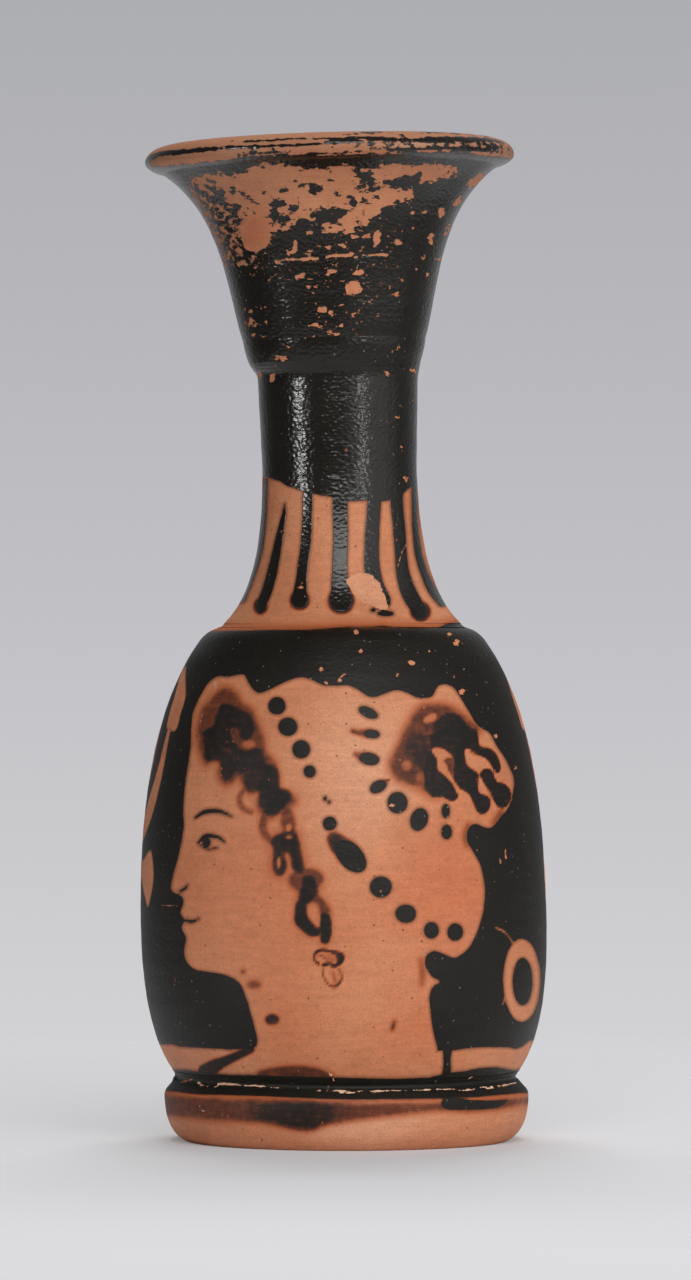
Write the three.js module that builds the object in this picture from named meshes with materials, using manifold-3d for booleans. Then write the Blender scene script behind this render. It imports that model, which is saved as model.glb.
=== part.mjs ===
// A miniature lekythos: a small wheel-thrown oil flask, built from the pieces a potter joins.
// The foot, body, neck and mouth are thrown one by one, and the strap handle is pulled.
// When they are leather-hard they are stacked on thin beds of slip and the handle is pressed on.
// Millimetres, +Z up, origin on the table at the centre of the foot. The front faces -Y.

import * as THREE from "three";
import { mergeVertices } from "three/addons/utils/BufferGeometryUtils.js";
import Module from "manifold-3d";

// Foot: a low disc with a bulging side, a bevelled top and a shallow hollow below.
const FOOT_REST_RADIUS = 19.3;
const FOOT_BULGE_RADIUS = 21.85;
const FOOT_SIDE_HEIGHT = 5.9;
const FOOT_EDGE_ROUND = 0.5;
const FOOT_HEIGHT = 7.3;
const FOOT_RIDGE_RADIUS = 20.6;
const FOOT_HOLLOW_RADIUS = 13.2;
const FOOT_HOLLOW_DEPTH = 1.7;

// Slip: the beds of liquid clay that hold the thrown pieces together.
const SLIP_THICKNESS = 0.4;
const SLIP_SETBACK = 0.45;

// Body: an ovoid wall on a flat floor, closing to a hole under the neck.
const BODY_BASE_RADIUS = 20.3;
const BODY_BELLY_RADIUS = 24.4;
const BODY_BELLY_HEIGHT = 18.4;
const BODY_SHOULDER_RADIUS = 17.2;
const BODY_SHOULDER_DROP = 1.6;
const BODY_HEIGHT = 53.8;
const BODY_WALL = 2.5;
const BODY_FLOOR = 3.2;
const BODY_HOLE_RADIUS = 7.0;

// Neck: a straight tube that spreads like a trumpet where it meets the shoulder.
const NECK_BASE_RADIUS = 14.3;
const NECK_WAIST_RADIUS = 9.3;
const NECK_WAIST_HEIGHT = 19.2;
const NECK_TOP_RADIUS = 9.6;
const NECK_HEIGHT = 29.7;
const NECK_BORE_RADIUS = 5.5;
const NECK_BORE_FLARE_HEIGHT = 4.0;
const NECK_EDGE_ROUND = 0.5;

// Mouth: a calyx that steps out over the neck and flares to a thick rolled lip.
const MOUTH_BASE_RADIUS = 9.7;
const MOUTH_STEP_RADIUS = 10.95;
const MOUTH_STEP_HEIGHT = 3.9;
const MOUTH_FLARE_RADIUS = 20.0;
const MOUTH_FLARE_HEIGHT = 24.3;
const MOUTH_HEIGHT = 27.8;
const MOUTH_WALL = 2.1;
const LIP_RADIUS = 22.1;
const LIP_DROP = 2.1;
const LIP_TOP_RADIUS = 19.7;
const THROAT_HEIGHT = 1.4;

// Handle: a flat strap at the back, from the neck to the shoulder.
const HANDLE_WIDTH = 8.6;
const HANDLE_THICKNESS = 4.0;
const HANDLE_REACH = 19.6;
const HANDLE_SPRING_DROP = 5.6;
const HANDLE_BEND_DROP = 7.8;
const HANDLE_LANDING_DROP = 4.0;
const HANDLE_ROOT_WIDTH = 11.2;
const HANDLE_ROOT_LENGTH = 7.0;
const HANDLE_ROOT_DEPTH = 2.2;
const HANDLE_SECTION_POWER = 2.6;
const HANDLE_CLEARANCE = 0.3;

// Settling: the soft clay gave way to one side as each piece was set on the last. Tilts are in degrees.
const BODY_SAG = 0.5;
const BODY_SAG_HEIGHT = 40.0;
const NECK_TILT = 1.1;
const MOUTH_TILT = 1.5;
const MOUTH_OFFSET = 0.3;

// Pulls: where a curve's inner control points lie from one end to the other, as shares [out, up].
const FOOT_HOLLOW_PULLS = [[0.6, 0], [1, 0.3]];
const FOOT_SIDE_PULLS = [[0.65, 0.13], [1, 0.49]];
const BODY_LOWER_PULLS = [[0.56, 0.16], [1, 0.43]];
const BODY_UPPER_PULLS = [[0, 0.42], [0.24, 0.77]];
const SHOULDER_PULLS = [[0.28, 0.66], [0.62, 1]];
const NECK_PULLS = [[0.58, 0.146], [1, 0.427]];
const MOUTH_STEP_PULLS = [[0.5, 0.25], [0.9, 0.7]];
const CALYX_PULLS = [[0.21, 0.33], [0.22, 0.75]];
const LIP_FACE_PULLS = [[0, 0.6], [0.45, 1]];
const LIP_UNDERSIDE_PULL = [1, 0.35];
const RIM_PULL = [0.8, 0];
const HANDLE_RISING_PULLS = [[0.5, -0.157], [1, -0.157]];
const HANDLE_FALLING_PULLS = [[0, 0.35], [0.7, 0.65]];

// Facets.
const TURN_STEPS = 48;
const CURVE_STEPS = 9;
const ROUND_STEPS = 3;
const HANDLE_STEPS = 11;
const HANDLE_SIDES = 16;
const SAME_PLACE = 1e-6;

// Heights of the joints, stacked from the table up.
const FOOT_SEAT = FOOT_HEIGHT;
const BODY_BASE = FOOT_SEAT + SLIP_THICKNESS;
const BODY_SEAT = BODY_BASE + BODY_HEIGHT;
const NECK_BASE = BODY_SEAT + SLIP_THICKNESS;
const NECK_SEAT = NECK_BASE + NECK_HEIGHT;
const MOUTH_BASE = NECK_SEAT + SLIP_THICKNESS;
const LIP_TOP = MOUTH_BASE + MOUTH_HEIGHT;

const { clamp, degToRad, lerp, mapLinear, smoothstep } = THREE.MathUtils;

const wasm = await Module();
wasm.setup();

const clay = new THREE.MeshStandardMaterial({ color: 0xc4805a, roughness: 0.72, metalness: 0 });
const gloss = new THREE.MeshStandardMaterial({ color: 0x262522, roughness: 0.36, metalness: 0 });
const slip = new THREE.MeshStandardMaterial({ color: 0xb06c48, roughness: 0.8, metalness: 0 });

// Profiles are drawn in the half plane of radius (x) and height (y).
const at = (radius, height) => new THREE.Vector2(radius, height);
const between = (a, b, [out, up]) => at(a.x + out * (b.x - a.x), a.y + up * (b.y - a.y));
const bezier = (a, b, [first, second]) =>
  new THREE.CubicBezierCurve(a, between(a, b, first), between(a, b, second), b);
const curve = (a, b, pulls, steps = CURVE_STEPS) => bezier(a, b, pulls).getPoints(steps);
const corner = (a, b, c) => new THREE.QuadraticBezierCurve(a, b, c).getPoints(ROUND_STEPS);

// Leaves out points that repeat the one before them, and a last point that repeats the first.
function outline(...stretches) {
  const points = stretches.flat();
  const isNew = (p, i) => i === 0 || p.distanceTo(points[i - 1]) > SAME_PLACE;
  const kept = points.filter(isNew);
  if (kept.at(-1).distanceTo(kept[0]) < SAME_PLACE) kept.pop();
  return kept;
}

// The inside of a wall: each point of its outside moved square to the wall, read from the far end back.
function insideOf(outside, wall) {
  return outside
    .map((p, i) => {
      const before = outside[Math.max(i - 1, 0)];
      const after = outside[Math.min(i + 1, outside.length - 1)];
      const along = after.clone().sub(before).normalize();
      return at(p.x - along.y * wall, p.y + along.x * wall);
    })
    .reverse();
}

// The radius of an outside wall at a height, for what is pressed on to it.
function radiusAt(height, outside) {
  const above = outside.findIndex((p) => p.y >= height);
  const [low, high] = [outside[above - 1], outside[above]];
  return mapLinear(height, low.y, high.y, low.x, high.x);
}

// Turns a profile round the axis. An outline that leaves the axis is closed on itself.
function turned(profile) {
  const onAxis = profile[0].x === 0;
  const points = onAxis ? profile : [...profile, profile[0]];
  return new THREE.LatheGeometry(points, TURN_STEPS).rotateX(Math.PI / 2);
}

// How far the axis has moved to the side at a height.
function leanAt(z) {
  const sag = BODY_SAG * smoothstep(z, 0, BODY_SAG_HEIGHT);
  const neck = Math.tan(degToRad(NECK_TILT)) * (clamp(z, NECK_BASE, NECK_SEAT) - NECK_BASE);
  const mouth = Math.tan(degToRad(MOUTH_TILT)) * Math.max(z - MOUTH_BASE, 0);
  const step = MOUTH_OFFSET * smoothstep(z, NECK_SEAT, MOUTH_BASE + THROAT_HEIGHT);
  return -(sag + neck + mouth + step);
}

// How much a level tips at a height, eased in over the spread of the neck and the step of the mouth.
function tiltAt(z) {
  const neck = NECK_TILT * smoothstep(z, NECK_BASE, NECK_BASE + NECK_WAIST_HEIGHT);
  const mouth = (MOUTH_TILT - NECK_TILT) * smoothstep(z, NECK_SEAT, MOUTH_BASE + MOUTH_STEP_HEIGHT);
  return degToRad(neck + mouth);
}

// Settles a finished piece: each level moves to the side and tips.
function settle(geometry) {
  const place = geometry.getAttribute("position");
  for (let i = 0; i < place.count; i++) {
    const [x, z] = [place.getX(i), place.getZ(i)];
    place.setX(i, leanAt(z) + x * Math.cos(tiltAt(z)));
    place.setZ(i, z + x * Math.sin(tiltAt(z)));
  }
  return geometry;
}

function solidOf(geometry) {
  const bare = new THREE.BufferGeometry();
  bare.setAttribute("position", geometry.getAttribute("position"));
  bare.setIndex(geometry.index);
  const merged = mergeVertices(bare);
  return new wasm.Manifold(
    new wasm.Mesh({
      numProp: 3,
      vertProperties: merged.getAttribute("position").array,
      triVerts: new Uint32Array(merged.index.array),
    }),
  );
}

function geometryOf(solid) {
  const mesh = solid.getMesh();
  const geometry = new THREE.BufferGeometry();
  geometry.setAttribute("position", new THREE.BufferAttribute(mesh.vertProperties, 3));
  geometry.setIndex(new THREE.BufferAttribute(mesh.triVerts, 1));
  return geometry;
}

function footProfile() {
  const bulge = at(FOOT_BULGE_RADIUS, FOOT_SIDE_HEIGHT - FOOT_EDGE_ROUND);
  const edge = at(FOOT_BULGE_RADIUS, FOOT_SIDE_HEIGHT);
  const bevel = at(FOOT_RIDGE_RADIUS, FOOT_SEAT);
  const bevelStart = edge.clone().lerp(bevel, FOOT_EDGE_ROUND / edge.distanceTo(bevel));
  const side = curve(at(FOOT_REST_RADIUS, 0), bulge, FOOT_SIDE_PULLS);
  const hollow = curve(at(0, FOOT_HOLLOW_DEPTH), at(FOOT_HOLLOW_RADIUS, 0), FOOT_HOLLOW_PULLS);
  return outline(hollow, side, corner(bulge, edge, bevelStart), [bevel, at(0, FOOT_SEAT)]);
}

// The outside of the body from its base to the flat ring that the neck stands on.
function bodyOutside() {
  const base = at(BODY_BASE_RADIUS, BODY_BASE);
  const belly = at(BODY_BELLY_RADIUS, BODY_BASE + BODY_BELLY_HEIGHT);
  const turn = at(BODY_SHOULDER_RADIUS, BODY_SEAT - BODY_SHOULDER_DROP);
  const ring = at(NECK_BASE_RADIUS, BODY_SEAT);
  return outline(
    curve(base, belly, BODY_LOWER_PULLS),
    curve(belly, turn, BODY_UPPER_PULLS),
    curve(turn, ring, SHOULDER_PULLS, ROUND_STEPS),
  );
}

function bodyProfile() {
  const outside = bodyOutside();
  const floor = BODY_BASE + BODY_FLOOR;
  const ceiling = BODY_SEAT - BODY_WALL;
  const wall = insideOf(outside, BODY_WALL).filter((p) => p.y > floor && p.y < ceiling);
  return outline(
    [at(0, BODY_BASE)],
    outside,
    [at(BODY_HOLE_RADIUS, BODY_SEAT), at(BODY_HOLE_RADIUS, ceiling)],
    wall,
    [at(BODY_BASE_RADIUS - 2 * BODY_WALL, floor), at(0, floor)],
  );
}

function neckOutside() {
  const base = at(NECK_BASE_RADIUS, NECK_BASE);
  const waist = at(NECK_WAIST_RADIUS, NECK_BASE + NECK_WAIST_HEIGHT);
  const top = at(NECK_TOP_RADIUS, NECK_SEAT);
  return outline(
    curve(base, waist, NECK_PULLS),
    corner(at(top.x, top.y - NECK_EDGE_ROUND), top, at(top.x - NECK_EDGE_ROUND, top.y)),
  );
}

function neckProfile() {
  const flare = NECK_BASE + NECK_BORE_FLARE_HEIGHT;
  return outline(neckOutside(), [
    at(NECK_BORE_RADIUS, NECK_SEAT),
    at(NECK_BORE_RADIUS, flare),
    at(BODY_HOLE_RADIUS, NECK_BASE),
  ]);
}

function mouthProfile() {
  const base = at(MOUTH_BASE_RADIUS, MOUTH_BASE);
  const step = at(MOUTH_STEP_RADIUS, MOUTH_BASE + MOUTH_STEP_HEIGHT);
  const flare = at(MOUTH_FLARE_RADIUS, MOUTH_BASE + MOUTH_FLARE_HEIGHT);
  const lip = at(LIP_RADIUS, LIP_TOP - LIP_DROP);
  const crest = at(LIP_TOP_RADIUS, LIP_TOP);
  const stepSide = curve(base, step, MOUTH_STEP_PULLS, ROUND_STEPS);
  const calyx = curve(step, flare, CALYX_PULLS);
  const lipUnderside = corner(flare, between(flare, lip, LIP_UNDERSIDE_PULL), lip);
  const lipFace = curve(lip, crest, LIP_FACE_PULLS, 2 * ROUND_STEPS);
  const bowl = insideOf(calyx, MOUTH_WALL);
  const rim = corner(crest, between(crest, bowl[0], RIM_PULL), bowl[0]);
  return outline(stepSide, calyx, lipUnderside, lipFace, rim, bowl, [
    at(NECK_BORE_RADIUS, MOUTH_BASE + THROAT_HEIGHT),
    at(NECK_BORE_RADIUS, MOUTH_BASE),
  ]);
}

// A bed of slip between two flat seats, kept back from the edge so that the joint shows as a line.
function slipBed(radius, hole, seat) {
  const rim = radius - SLIP_SETBACK;
  const inner = hole > 0 ? hole + SLIP_SETBACK : 0;
  return outline([
    at(inner, seat),
    at(rim, seat),
    at(rim, seat + SLIP_THICKNESS),
    at(inner, seat + SLIP_THICKNESS),
  ]);
}

// The strap's centre line in the plane of the back (x is the distance from the axis, y the height).
// It starts inside the neck and ends inside the shoulder, each by the depth of a root.
function handlePath() {
  const spring = NECK_SEAT - HANDLE_SPRING_DROP;
  const landing = BODY_SEAT - BODY_SHOULDER_DROP - HANDLE_LANDING_DROP;
  const start = at(radiusAt(spring, neckOutside()) - HANDLE_ROOT_DEPTH, spring);
  const furthest = at(HANDLE_REACH, spring - HANDLE_BEND_DROP);
  const end = at(radiusAt(landing, bodyOutside()) - HANDLE_ROOT_DEPTH, landing);
  const path = new THREE.CurvePath();
  path.add(bezier(start, furthest, HANDLE_RISING_PULLS));
  path.add(bezier(furthest, end, HANDLE_FALLING_PULLS));
  return path;
}

// A strap of rounded section along the path, spread at both roots where it is pressed on.
function handleStrap() {
  const path = handlePath();
  const length = path.getLength();
  const stations = 2 * HANDLE_STEPS;
  const places = [];
  const round = (v) => Math.sign(v) * Math.abs(v) ** (2 / HANDLE_SECTION_POWER);
  for (let i = 0; i <= stations; i++) {
    const share = i / stations;
    const point = path.getPointAt(share);
    const along = path.getTangentAt(share);
    const toRoot = Math.min(share, 1 - share) * length;
    const near = 1 - smoothstep(toRoot, 0, HANDLE_ROOT_LENGTH);
    const swell = lerp(HANDLE_WIDTH, HANDLE_ROOT_WIDTH, near) / HANDLE_WIDTH;
    for (let j = 0; j < HANDLE_SIDES; j++) {
      const angle = (2 * Math.PI * j) / HANDLE_SIDES;
      const across = 0.5 * HANDLE_WIDTH * swell * round(Math.cos(angle));
      const through = 0.5 * HANDLE_THICKNESS * swell * round(Math.sin(angle));
      places.push(across, point.x - along.y * through, point.y + along.x * through);
    }
  }
  const faces = [];
  for (let i = 0; i < stations; i++) {
    for (let j = 0; j < HANDLE_SIDES; j++) {
      const next = (j + 1) % HANDLE_SIDES;
      const [a, b] = [i * HANDLE_SIDES + j, i * HANDLE_SIDES + next];
      const [c, d] = [a + HANDLE_SIDES, b + HANDLE_SIDES];
      faces.push(a, c, b, b, c, d);
    }
  }
  const last = stations * HANDLE_SIDES;
  for (let j = 1; j < HANDLE_SIDES - 1; j++) {
    faces.push(0, j, j + 1, last, last + j + 1, last + j);
  }
  const strap = new THREE.BufferGeometry();
  strap.setAttribute("position", new THREE.Float32BufferAttribute(places, 3));
  return strap.setIndex(faces);
}

// What the handle is cut back from: the neck and body, filled in and larger by the clearance.
function handleCutter() {
  const grown = (points) => insideOf(points, -HANDLE_CLEARANCE).reverse();
  const core = (points) => {
    const bottom = at(0, points[0].y);
    const top = at(0, points.at(-1).y);
    return solidOf(turned(outline([bottom], points, [top])));
  };
  return core(grown(neckOutside())).add(core(grown(bodyOutside())));
}

function handleGeometry() {
  const strap = solidOf(handleStrap());
  return geometryOf(strap.subtract(handleCutter()));
}

const lekythos = new THREE.Group();
lekythos.name = "lekythos";

function addPiece(name, geometry, material) {
  const piece = new THREE.Mesh(settle(geometry), material);
  piece.name = name;
  lekythos.add(piece);
}

addPiece("foot", turned(footProfile()), clay);
addPiece("foot_slip", turned(slipBed(BODY_BASE_RADIUS, 0, FOOT_SEAT)), slip);
addPiece("body", turned(bodyProfile()), gloss);
addPiece("neck_slip", turned(slipBed(NECK_BASE_RADIUS, BODY_HOLE_RADIUS, BODY_SEAT)), slip);
addPiece("neck", turned(neckProfile()), gloss);
addPiece("mouth_slip", turned(slipBed(NECK_TOP_RADIUS, NECK_BORE_RADIUS, NECK_SEAT)), slip);
addPiece("mouth", turned(mouthProfile()), gloss);
addPiece("handle", handleGeometry(), gloss);

export default lekythos;
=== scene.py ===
# %% [markdown]
# # A miniature lekythos
# A lekythos is a small clay oil flask. The potter threw it in parts, joined the parts with liquid clay,
# and a painter covered the ground with a fine iron slip that fires black and glossy and left the figure
# in bare clay. The imported CAD model is the fixed frame of this lesson. Each of its pieces gets a finer
# skin of the same size, the painter's drawing is laid on that skin as numbers, and one material turns
# the numbers into clay and gloss.

# %% Load the frame, with helpers to measure, attach and hide its parts
import math

import bpy
import numpy as np
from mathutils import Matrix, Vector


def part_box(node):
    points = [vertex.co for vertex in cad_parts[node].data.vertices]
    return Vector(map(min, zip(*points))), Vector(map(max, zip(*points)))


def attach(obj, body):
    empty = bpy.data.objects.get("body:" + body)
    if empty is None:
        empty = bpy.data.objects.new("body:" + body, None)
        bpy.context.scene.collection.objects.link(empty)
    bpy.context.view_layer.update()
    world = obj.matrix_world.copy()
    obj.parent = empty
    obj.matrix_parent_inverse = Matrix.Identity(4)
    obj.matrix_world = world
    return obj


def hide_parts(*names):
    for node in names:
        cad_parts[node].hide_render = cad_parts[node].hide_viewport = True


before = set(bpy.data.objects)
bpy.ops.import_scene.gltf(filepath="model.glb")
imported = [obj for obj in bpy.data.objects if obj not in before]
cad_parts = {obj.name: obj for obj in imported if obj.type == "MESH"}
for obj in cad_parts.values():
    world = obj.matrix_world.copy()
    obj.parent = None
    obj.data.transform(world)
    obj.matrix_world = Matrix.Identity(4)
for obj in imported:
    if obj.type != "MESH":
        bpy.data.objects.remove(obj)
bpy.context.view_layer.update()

MM = 0.001

# %% [markdown]
# ## Three small helpers
# A node tree is only nodes, settings and links, so one function can add any node: it takes the kind,
# what feeds its inputs, and its settings. Colours are written as the sRGB codes that a colour picker
# shows, while Blender works in linear light, so a second function turns one into the other.
#
# A tree with many steps is easier to read as a recipe than as a wiring plan. Each row of a recipe names
# a result and says what it is made from, and a third function turns the rows into nodes.

# %% The node and colour helpers
def add(tree, kind, feeds=(), **settings):
    """Adds a node, gives it its settings, and feeds its inputs with values or links."""
    node = tree.nodes.new(kind)
    for name, value in settings.items():
        setattr(node, name, value)
    for key, value in dict(feeds).items():
        socket = node.inputs[key]
        if isinstance(value, bpy.types.NodeSocket):
            tree.links.new(value, socket)
        else:
            socket.default_value = value
    return node


def colour(code):
    """An sRGB hex code as the linear colour that Blender works in."""
    parts = [int(code[i:i + 2], 16) / 255 for i in (1, 3, 5)]
    return [c / 12.92 if c <= 0.04045 else ((c + 0.055) / 1.055) ** 2.4 for c in parts] + [1.0]


print("helpers ready; mid grey #808080 is", round(colour("#808080")[0], 3), "in linear light")

# %% Recipes of nodes
# A RANGE reads a number over one range and gives it out over another. A BLEND mixes two colours by a
# share, a FADE two numbers, and a SCALE lightens or darkens a colour. Other steps are plain arithmetic.
# Each has a kind of node, its settings, the inputs that a row's values go to, and the output to keep.
STEPS = {
    "RANGE": ("ShaderNodeMapRange", {}, (0, 1, 2, 3, 4), 0),
    "BLEND": ("ShaderNodeMix", {"data_type": "RGBA"}, (0, 6, 7), 2),
    "FADE": ("ShaderNodeMix", {}, (0, 2, 3), 0),
    "SCALE": ("ShaderNodeVectorMath", {"operation": "SCALE"}, (0, 3), 0)}


def cook(tree, made, recipe):
    """Adds the nodes of a recipe and keeps each result under its name."""
    for name, step, *values in recipe:
        arithmetic = ("ShaderNodeMath", {"operation": step}, (0, 1, 2), 0)
        kind, settings, places, out = STEPS.get(step, arithmetic)
        given = [made.get(value, value) for value in values]
        given = [colour(value) if str(value).startswith("#") else value for value in given]
        made[name] = add(tree, kind, dict(zip(places, given)), **settings).outputs[out]


print("a recipe has", len(STEPS), "steps of its own beside arithmetic")

# %% [markdown]
# ## Profiles
# A thrown pot is one outline turned round an axis. Each outline here is a chain of Bezier curves in
# millimetres, as radius and height, with nearly the same points as the CAD pieces. The CAD walls have
# few facets, so the outlines are cut again into short steps outside, where the drawing needs a fine
# skin, and long steps where nothing shows.

# %% Curves of an outline
FINE = 0.27
CLOSE = 0.5
COARSE = 1.6
CURVE_POINTS = 120
SAME_PLACE = 1e-6


def curve(*controls):
    """A straight line or a Bezier curve through its control points, as a dense line of points."""
    t = np.linspace(0, 1, CURVE_POINTS)[:, None]
    rows = [np.array(point, float) for point in controls]
    while len(rows) > 1:
        rows = [a + (b - a) * t for a, b in zip(rows, rows[1:])]
    return rows[0]


def eased(values, low, high):
    """From 0 at the low value to 1 at the high one, with a soft start and end."""
    share = np.clip((values - low) / (high - low), 0, 1)
    return share * share * (3 - 2 * share)


def spaced(line, step):
    """The same line with its points about one step apart."""
    lengths = np.linalg.norm(np.diff(line, axis=0), axis=1)
    along = np.concatenate([[0], np.cumsum(lengths)])
    even = np.linspace(0, along[-1], max(round(along[-1] / step), 1) + 1)
    return np.column_stack([np.interp(even, along, line[:, k]) for k in range(line.shape[1])])


def profile(*stretches):
    """Joins stretches, each a step and a line, and drops the doubled points where they meet."""
    points = np.concatenate([spaced(line, step) for step, line in stretches])
    moved = np.linalg.norm(np.diff(points, axis=0), axis=1) > SAME_PLACE
    return points[np.concatenate([[True], moved])]


def inside_of(line, wall):
    """The line set in towards the axis by the wall's thickness, running the other way."""
    along = np.gradient(line, axis=0)
    along /= np.linalg.norm(along, axis=1)[:, None]
    return (line + wall * np.column_stack([-along[:, 1], along[:, 0]]))[::-1]


print("a profile step is", FINE, "mm outside and", COARSE, "mm in hidden places")

# %% Outlines of the foot and the body
FOOT_SEAT = 7.3
BODY_BASE = 7.7
BODY_SEAT = 61.5
BODY_WALL = 2.5
BODY_FLOOR = 3.2
BODY_HOLE = 7.0
FLOOR_ROUNDING = 2
# Corners of the two outlines, as radius and height
HOLLOW_EDGE = (13.2, 0)
STANDING_EDGE = (19.3, 0)
FOOT_WIDEST = (21.85, 5.4)
FOOT_BEVEL = (21.52, 6.27)
FOOT_TOP = (20.6, FOOT_SEAT)
BODY_FOOT = (20.3, BODY_BASE)
BELLY = (24.4, 26.1)
SHOULDER = (17.2, 59.9)
BODY_TOP = (14.3, BODY_SEAT)
HOLE_TOP = (BODY_HOLE, BODY_SEAT)
HOLE_LOW = (BODY_HOLE, BODY_SEAT - BODY_WALL)

foot_outline = profile(
    (COARSE, curve((0, 1.7), (7.9, 1.7), (13.2, 1.2), HOLLOW_EDGE)),
    (CLOSE, curve(HOLLOW_EDGE, STANDING_EDGE)),
    (FINE, curve(STANDING_EDGE, (20.96, 0.71), (21.85, 2.66), FOOT_WIDEST)),
    (FINE, curve(FOOT_WIDEST, (21.85, 5.9), FOOT_BEVEL)),
    (FINE, curve(FOOT_BEVEL, FOOT_TOP)),
    (COARSE, curve(FOOT_TOP, (0, FOOT_SEAT))))

lower_wall = curve(BODY_FOOT, (22.6, 10.64), (24.4, 15.6), BELLY)
upper_wall = curve(BELLY, (24.4, 40.3), (22.67, 52.13), SHOULDER)
shoulder = curve(SHOULDER, (16.39, 60.96), (15.4, BODY_SEAT), BODY_TOP)
inner_floor = BODY_BASE + BODY_FLOOR
inner_wall = inside_of(np.concatenate([lower_wall, upper_wall[1:]]), BODY_WALL)
inner_wall = inner_wall[inner_wall[:, 1] > inner_floor + FLOOR_ROUNDING]
body_outline = profile(
    (COARSE, curve((0, BODY_BASE), BODY_FOOT)),
    (FINE, lower_wall),
    (FINE, upper_wall),
    (FINE, shoulder),
    (COARSE, curve(BODY_TOP, HOLE_TOP)),
    (COARSE, curve(HOLE_TOP, HOLE_LOW)),
    (COARSE, curve(HOLE_LOW, inner_wall[0])),
    (COARSE, inner_wall),
    (COARSE, curve(inner_wall[-1], (18, inner_floor), (0, inner_floor))))
print("foot outline:", len(foot_outline), "points; body outline:", len(body_outline))

# %% Outlines of the neck and the mouth
NECK_BASE = 61.9
NECK_SEAT = 91.6
MOUTH_BASE = 92.0
THROAT_TOP = 93.4
LIP_TOP = 119.55
BORE = 5.5
MOUTH_WALL = 2.1
# Corners of the two outlines, as radius and height
NECK_FOOT = (14.3, NECK_BASE)
NECK_WAIST = (9.3, 81.1)
NECK_TOP = (9.6, 91.1)
NECK_CREST = (9.1, NECK_SEAT)
BORE_TOP = (BORE, NECK_SEAT)
BORE_LOW = (BORE, NECK_BASE + 4)
BORE_FOOT = (BODY_HOLE, NECK_BASE)
MOUTH_FOOT = (9.7, MOUTH_BASE)
CALYX_LOW = (10.95, 95.9)
CALYX_HIGH = (20, 116.3)
LIP_SIDE = (22.1, 117.7)
LIP_CREST = (19.3, LIP_TOP)
THROAT_HIGH = (BORE, THROAT_TOP)
THROAT_LOW = (BORE, MOUTH_BASE)

neck_outline = profile(
    (FINE, curve(NECK_FOOT, (11.4, 64.7), (9.3, 70.1), NECK_WAIST)),
    (FINE, curve(NECK_WAIST, NECK_TOP)),
    (FINE, curve(NECK_TOP, (9.6, NECK_SEAT), NECK_CREST)),
    (COARSE, curve(NECK_CREST, BORE_TOP)),
    (COARSE, curve(BORE_TOP, BORE_LOW)),
    (COARSE, curve(BORE_LOW, BORE_FOOT)),
    (COARSE, curve(BORE_FOOT, NECK_FOOT)))

calyx = curve(CALYX_LOW, (12.85, 102.63), (12.94, 111.2), CALYX_HIGH)
bowl = inside_of(calyx, MOUTH_WALL)
mouth_outline = profile(
    (FINE, curve(MOUTH_FOOT, (10.33, 92.98), (10.83, 94.73), CALYX_LOW)),
    (FINE, calyx),
    (FINE, curve(CALYX_HIGH, (22.1, 116.79), LIP_SIDE)),
    (FINE, curve(LIP_SIDE, (22.1, 118.7), (20.9, LIP_TOP - 0.1), LIP_CREST)),
    (FINE, curve(LIP_CREST, (18.7, LIP_TOP), bowl[0])),
    (CLOSE, bowl),
    (COARSE, curve(bowl[-1], THROAT_HIGH)),
    (COARSE, curve(THROAT_HIGH, THROAT_LOW)),
    (COARSE, curve(THROAT_LOW, MOUTH_FOOT)))
print("neck outline:", len(neck_outline), "points; mouth outline:", len(mouth_outline))

# %% Outlines of the slip beds
BED_STEP = 0.12
# The outer face of each bed, from its low edge to its high one
FOOT_SLIP_FACE = ((20.85, 7.05), (20.2, 7.3), (20.15, 7.8), (20.85, 8.4))
NECK_SLIP_FACE = ((15, 61.455), (14.5, 61.5), (14.22, 61.98), (13.82, 62.44))
MOUTH_SLIP_FACE = ((9.605, 90.9), (9.63, 91.5), (9.66, 91.9), (9.99, 92.46))
FOOT_SLIP_HOLE = 1.2


def bed(outside, inner):
    """A ring of slip between two pieces: a curve outside that laps over both, and a straight bore."""
    low, high = outside[0][1], outside[-1][1]
    return profile(
        (BED_STEP, curve(*outside)),
        (COARSE, curve(outside[-1], (inner, high))),
        (COARSE, curve((inner, high), (inner, low))),
        (COARSE, curve((inner, low), outside[0])))


foot_slip_outline = bed(FOOT_SLIP_FACE, FOOT_SLIP_HOLE)
neck_slip_outline = bed(NECK_SLIP_FACE, BODY_HOLE)
mouth_slip_outline = bed(MOUTH_SLIP_FACE, BORE)
print("slip beds:", len(foot_slip_outline), len(neck_slip_outline), len(mouth_slip_outline), "points")

# %% [markdown]
# ## The potter's wheel, in Geometry Nodes
# The Screw modifier could turn an outline too, but it spaces its columns evenly. This tree is a wheel of
# our own: a grid has one row for each point of the outline, and each column is swung to its angle round
# the axis. The crowding input packs the columns closer at the front, where the figure is. The grid's
# flat coordinates are kept as the piece's UV map, and the grid's two edges are merged at the back,
# behind the handle. Faces are shaded as one smooth skin, except over a sharp corner of the outline.

# %% Trees with named inputs
def new_tree(name, inputs):
    """Starts a Geometry Nodes tree, and gives its inputs by name."""
    tree = bpy.data.node_groups.new(name, "GeometryNodeTree")
    for label, kind in inputs:
        tree.interface.new_socket(label, in_out="INPUT", socket_type="NodeSocket" + kind)
    tree.interface.new_socket("Piece", in_out="OUTPUT", socket_type="NodeSocketGeometry")
    given = add(tree, "NodeGroupInput").outputs
    return tree, {label: given[label] for label, kind in inputs}


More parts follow.
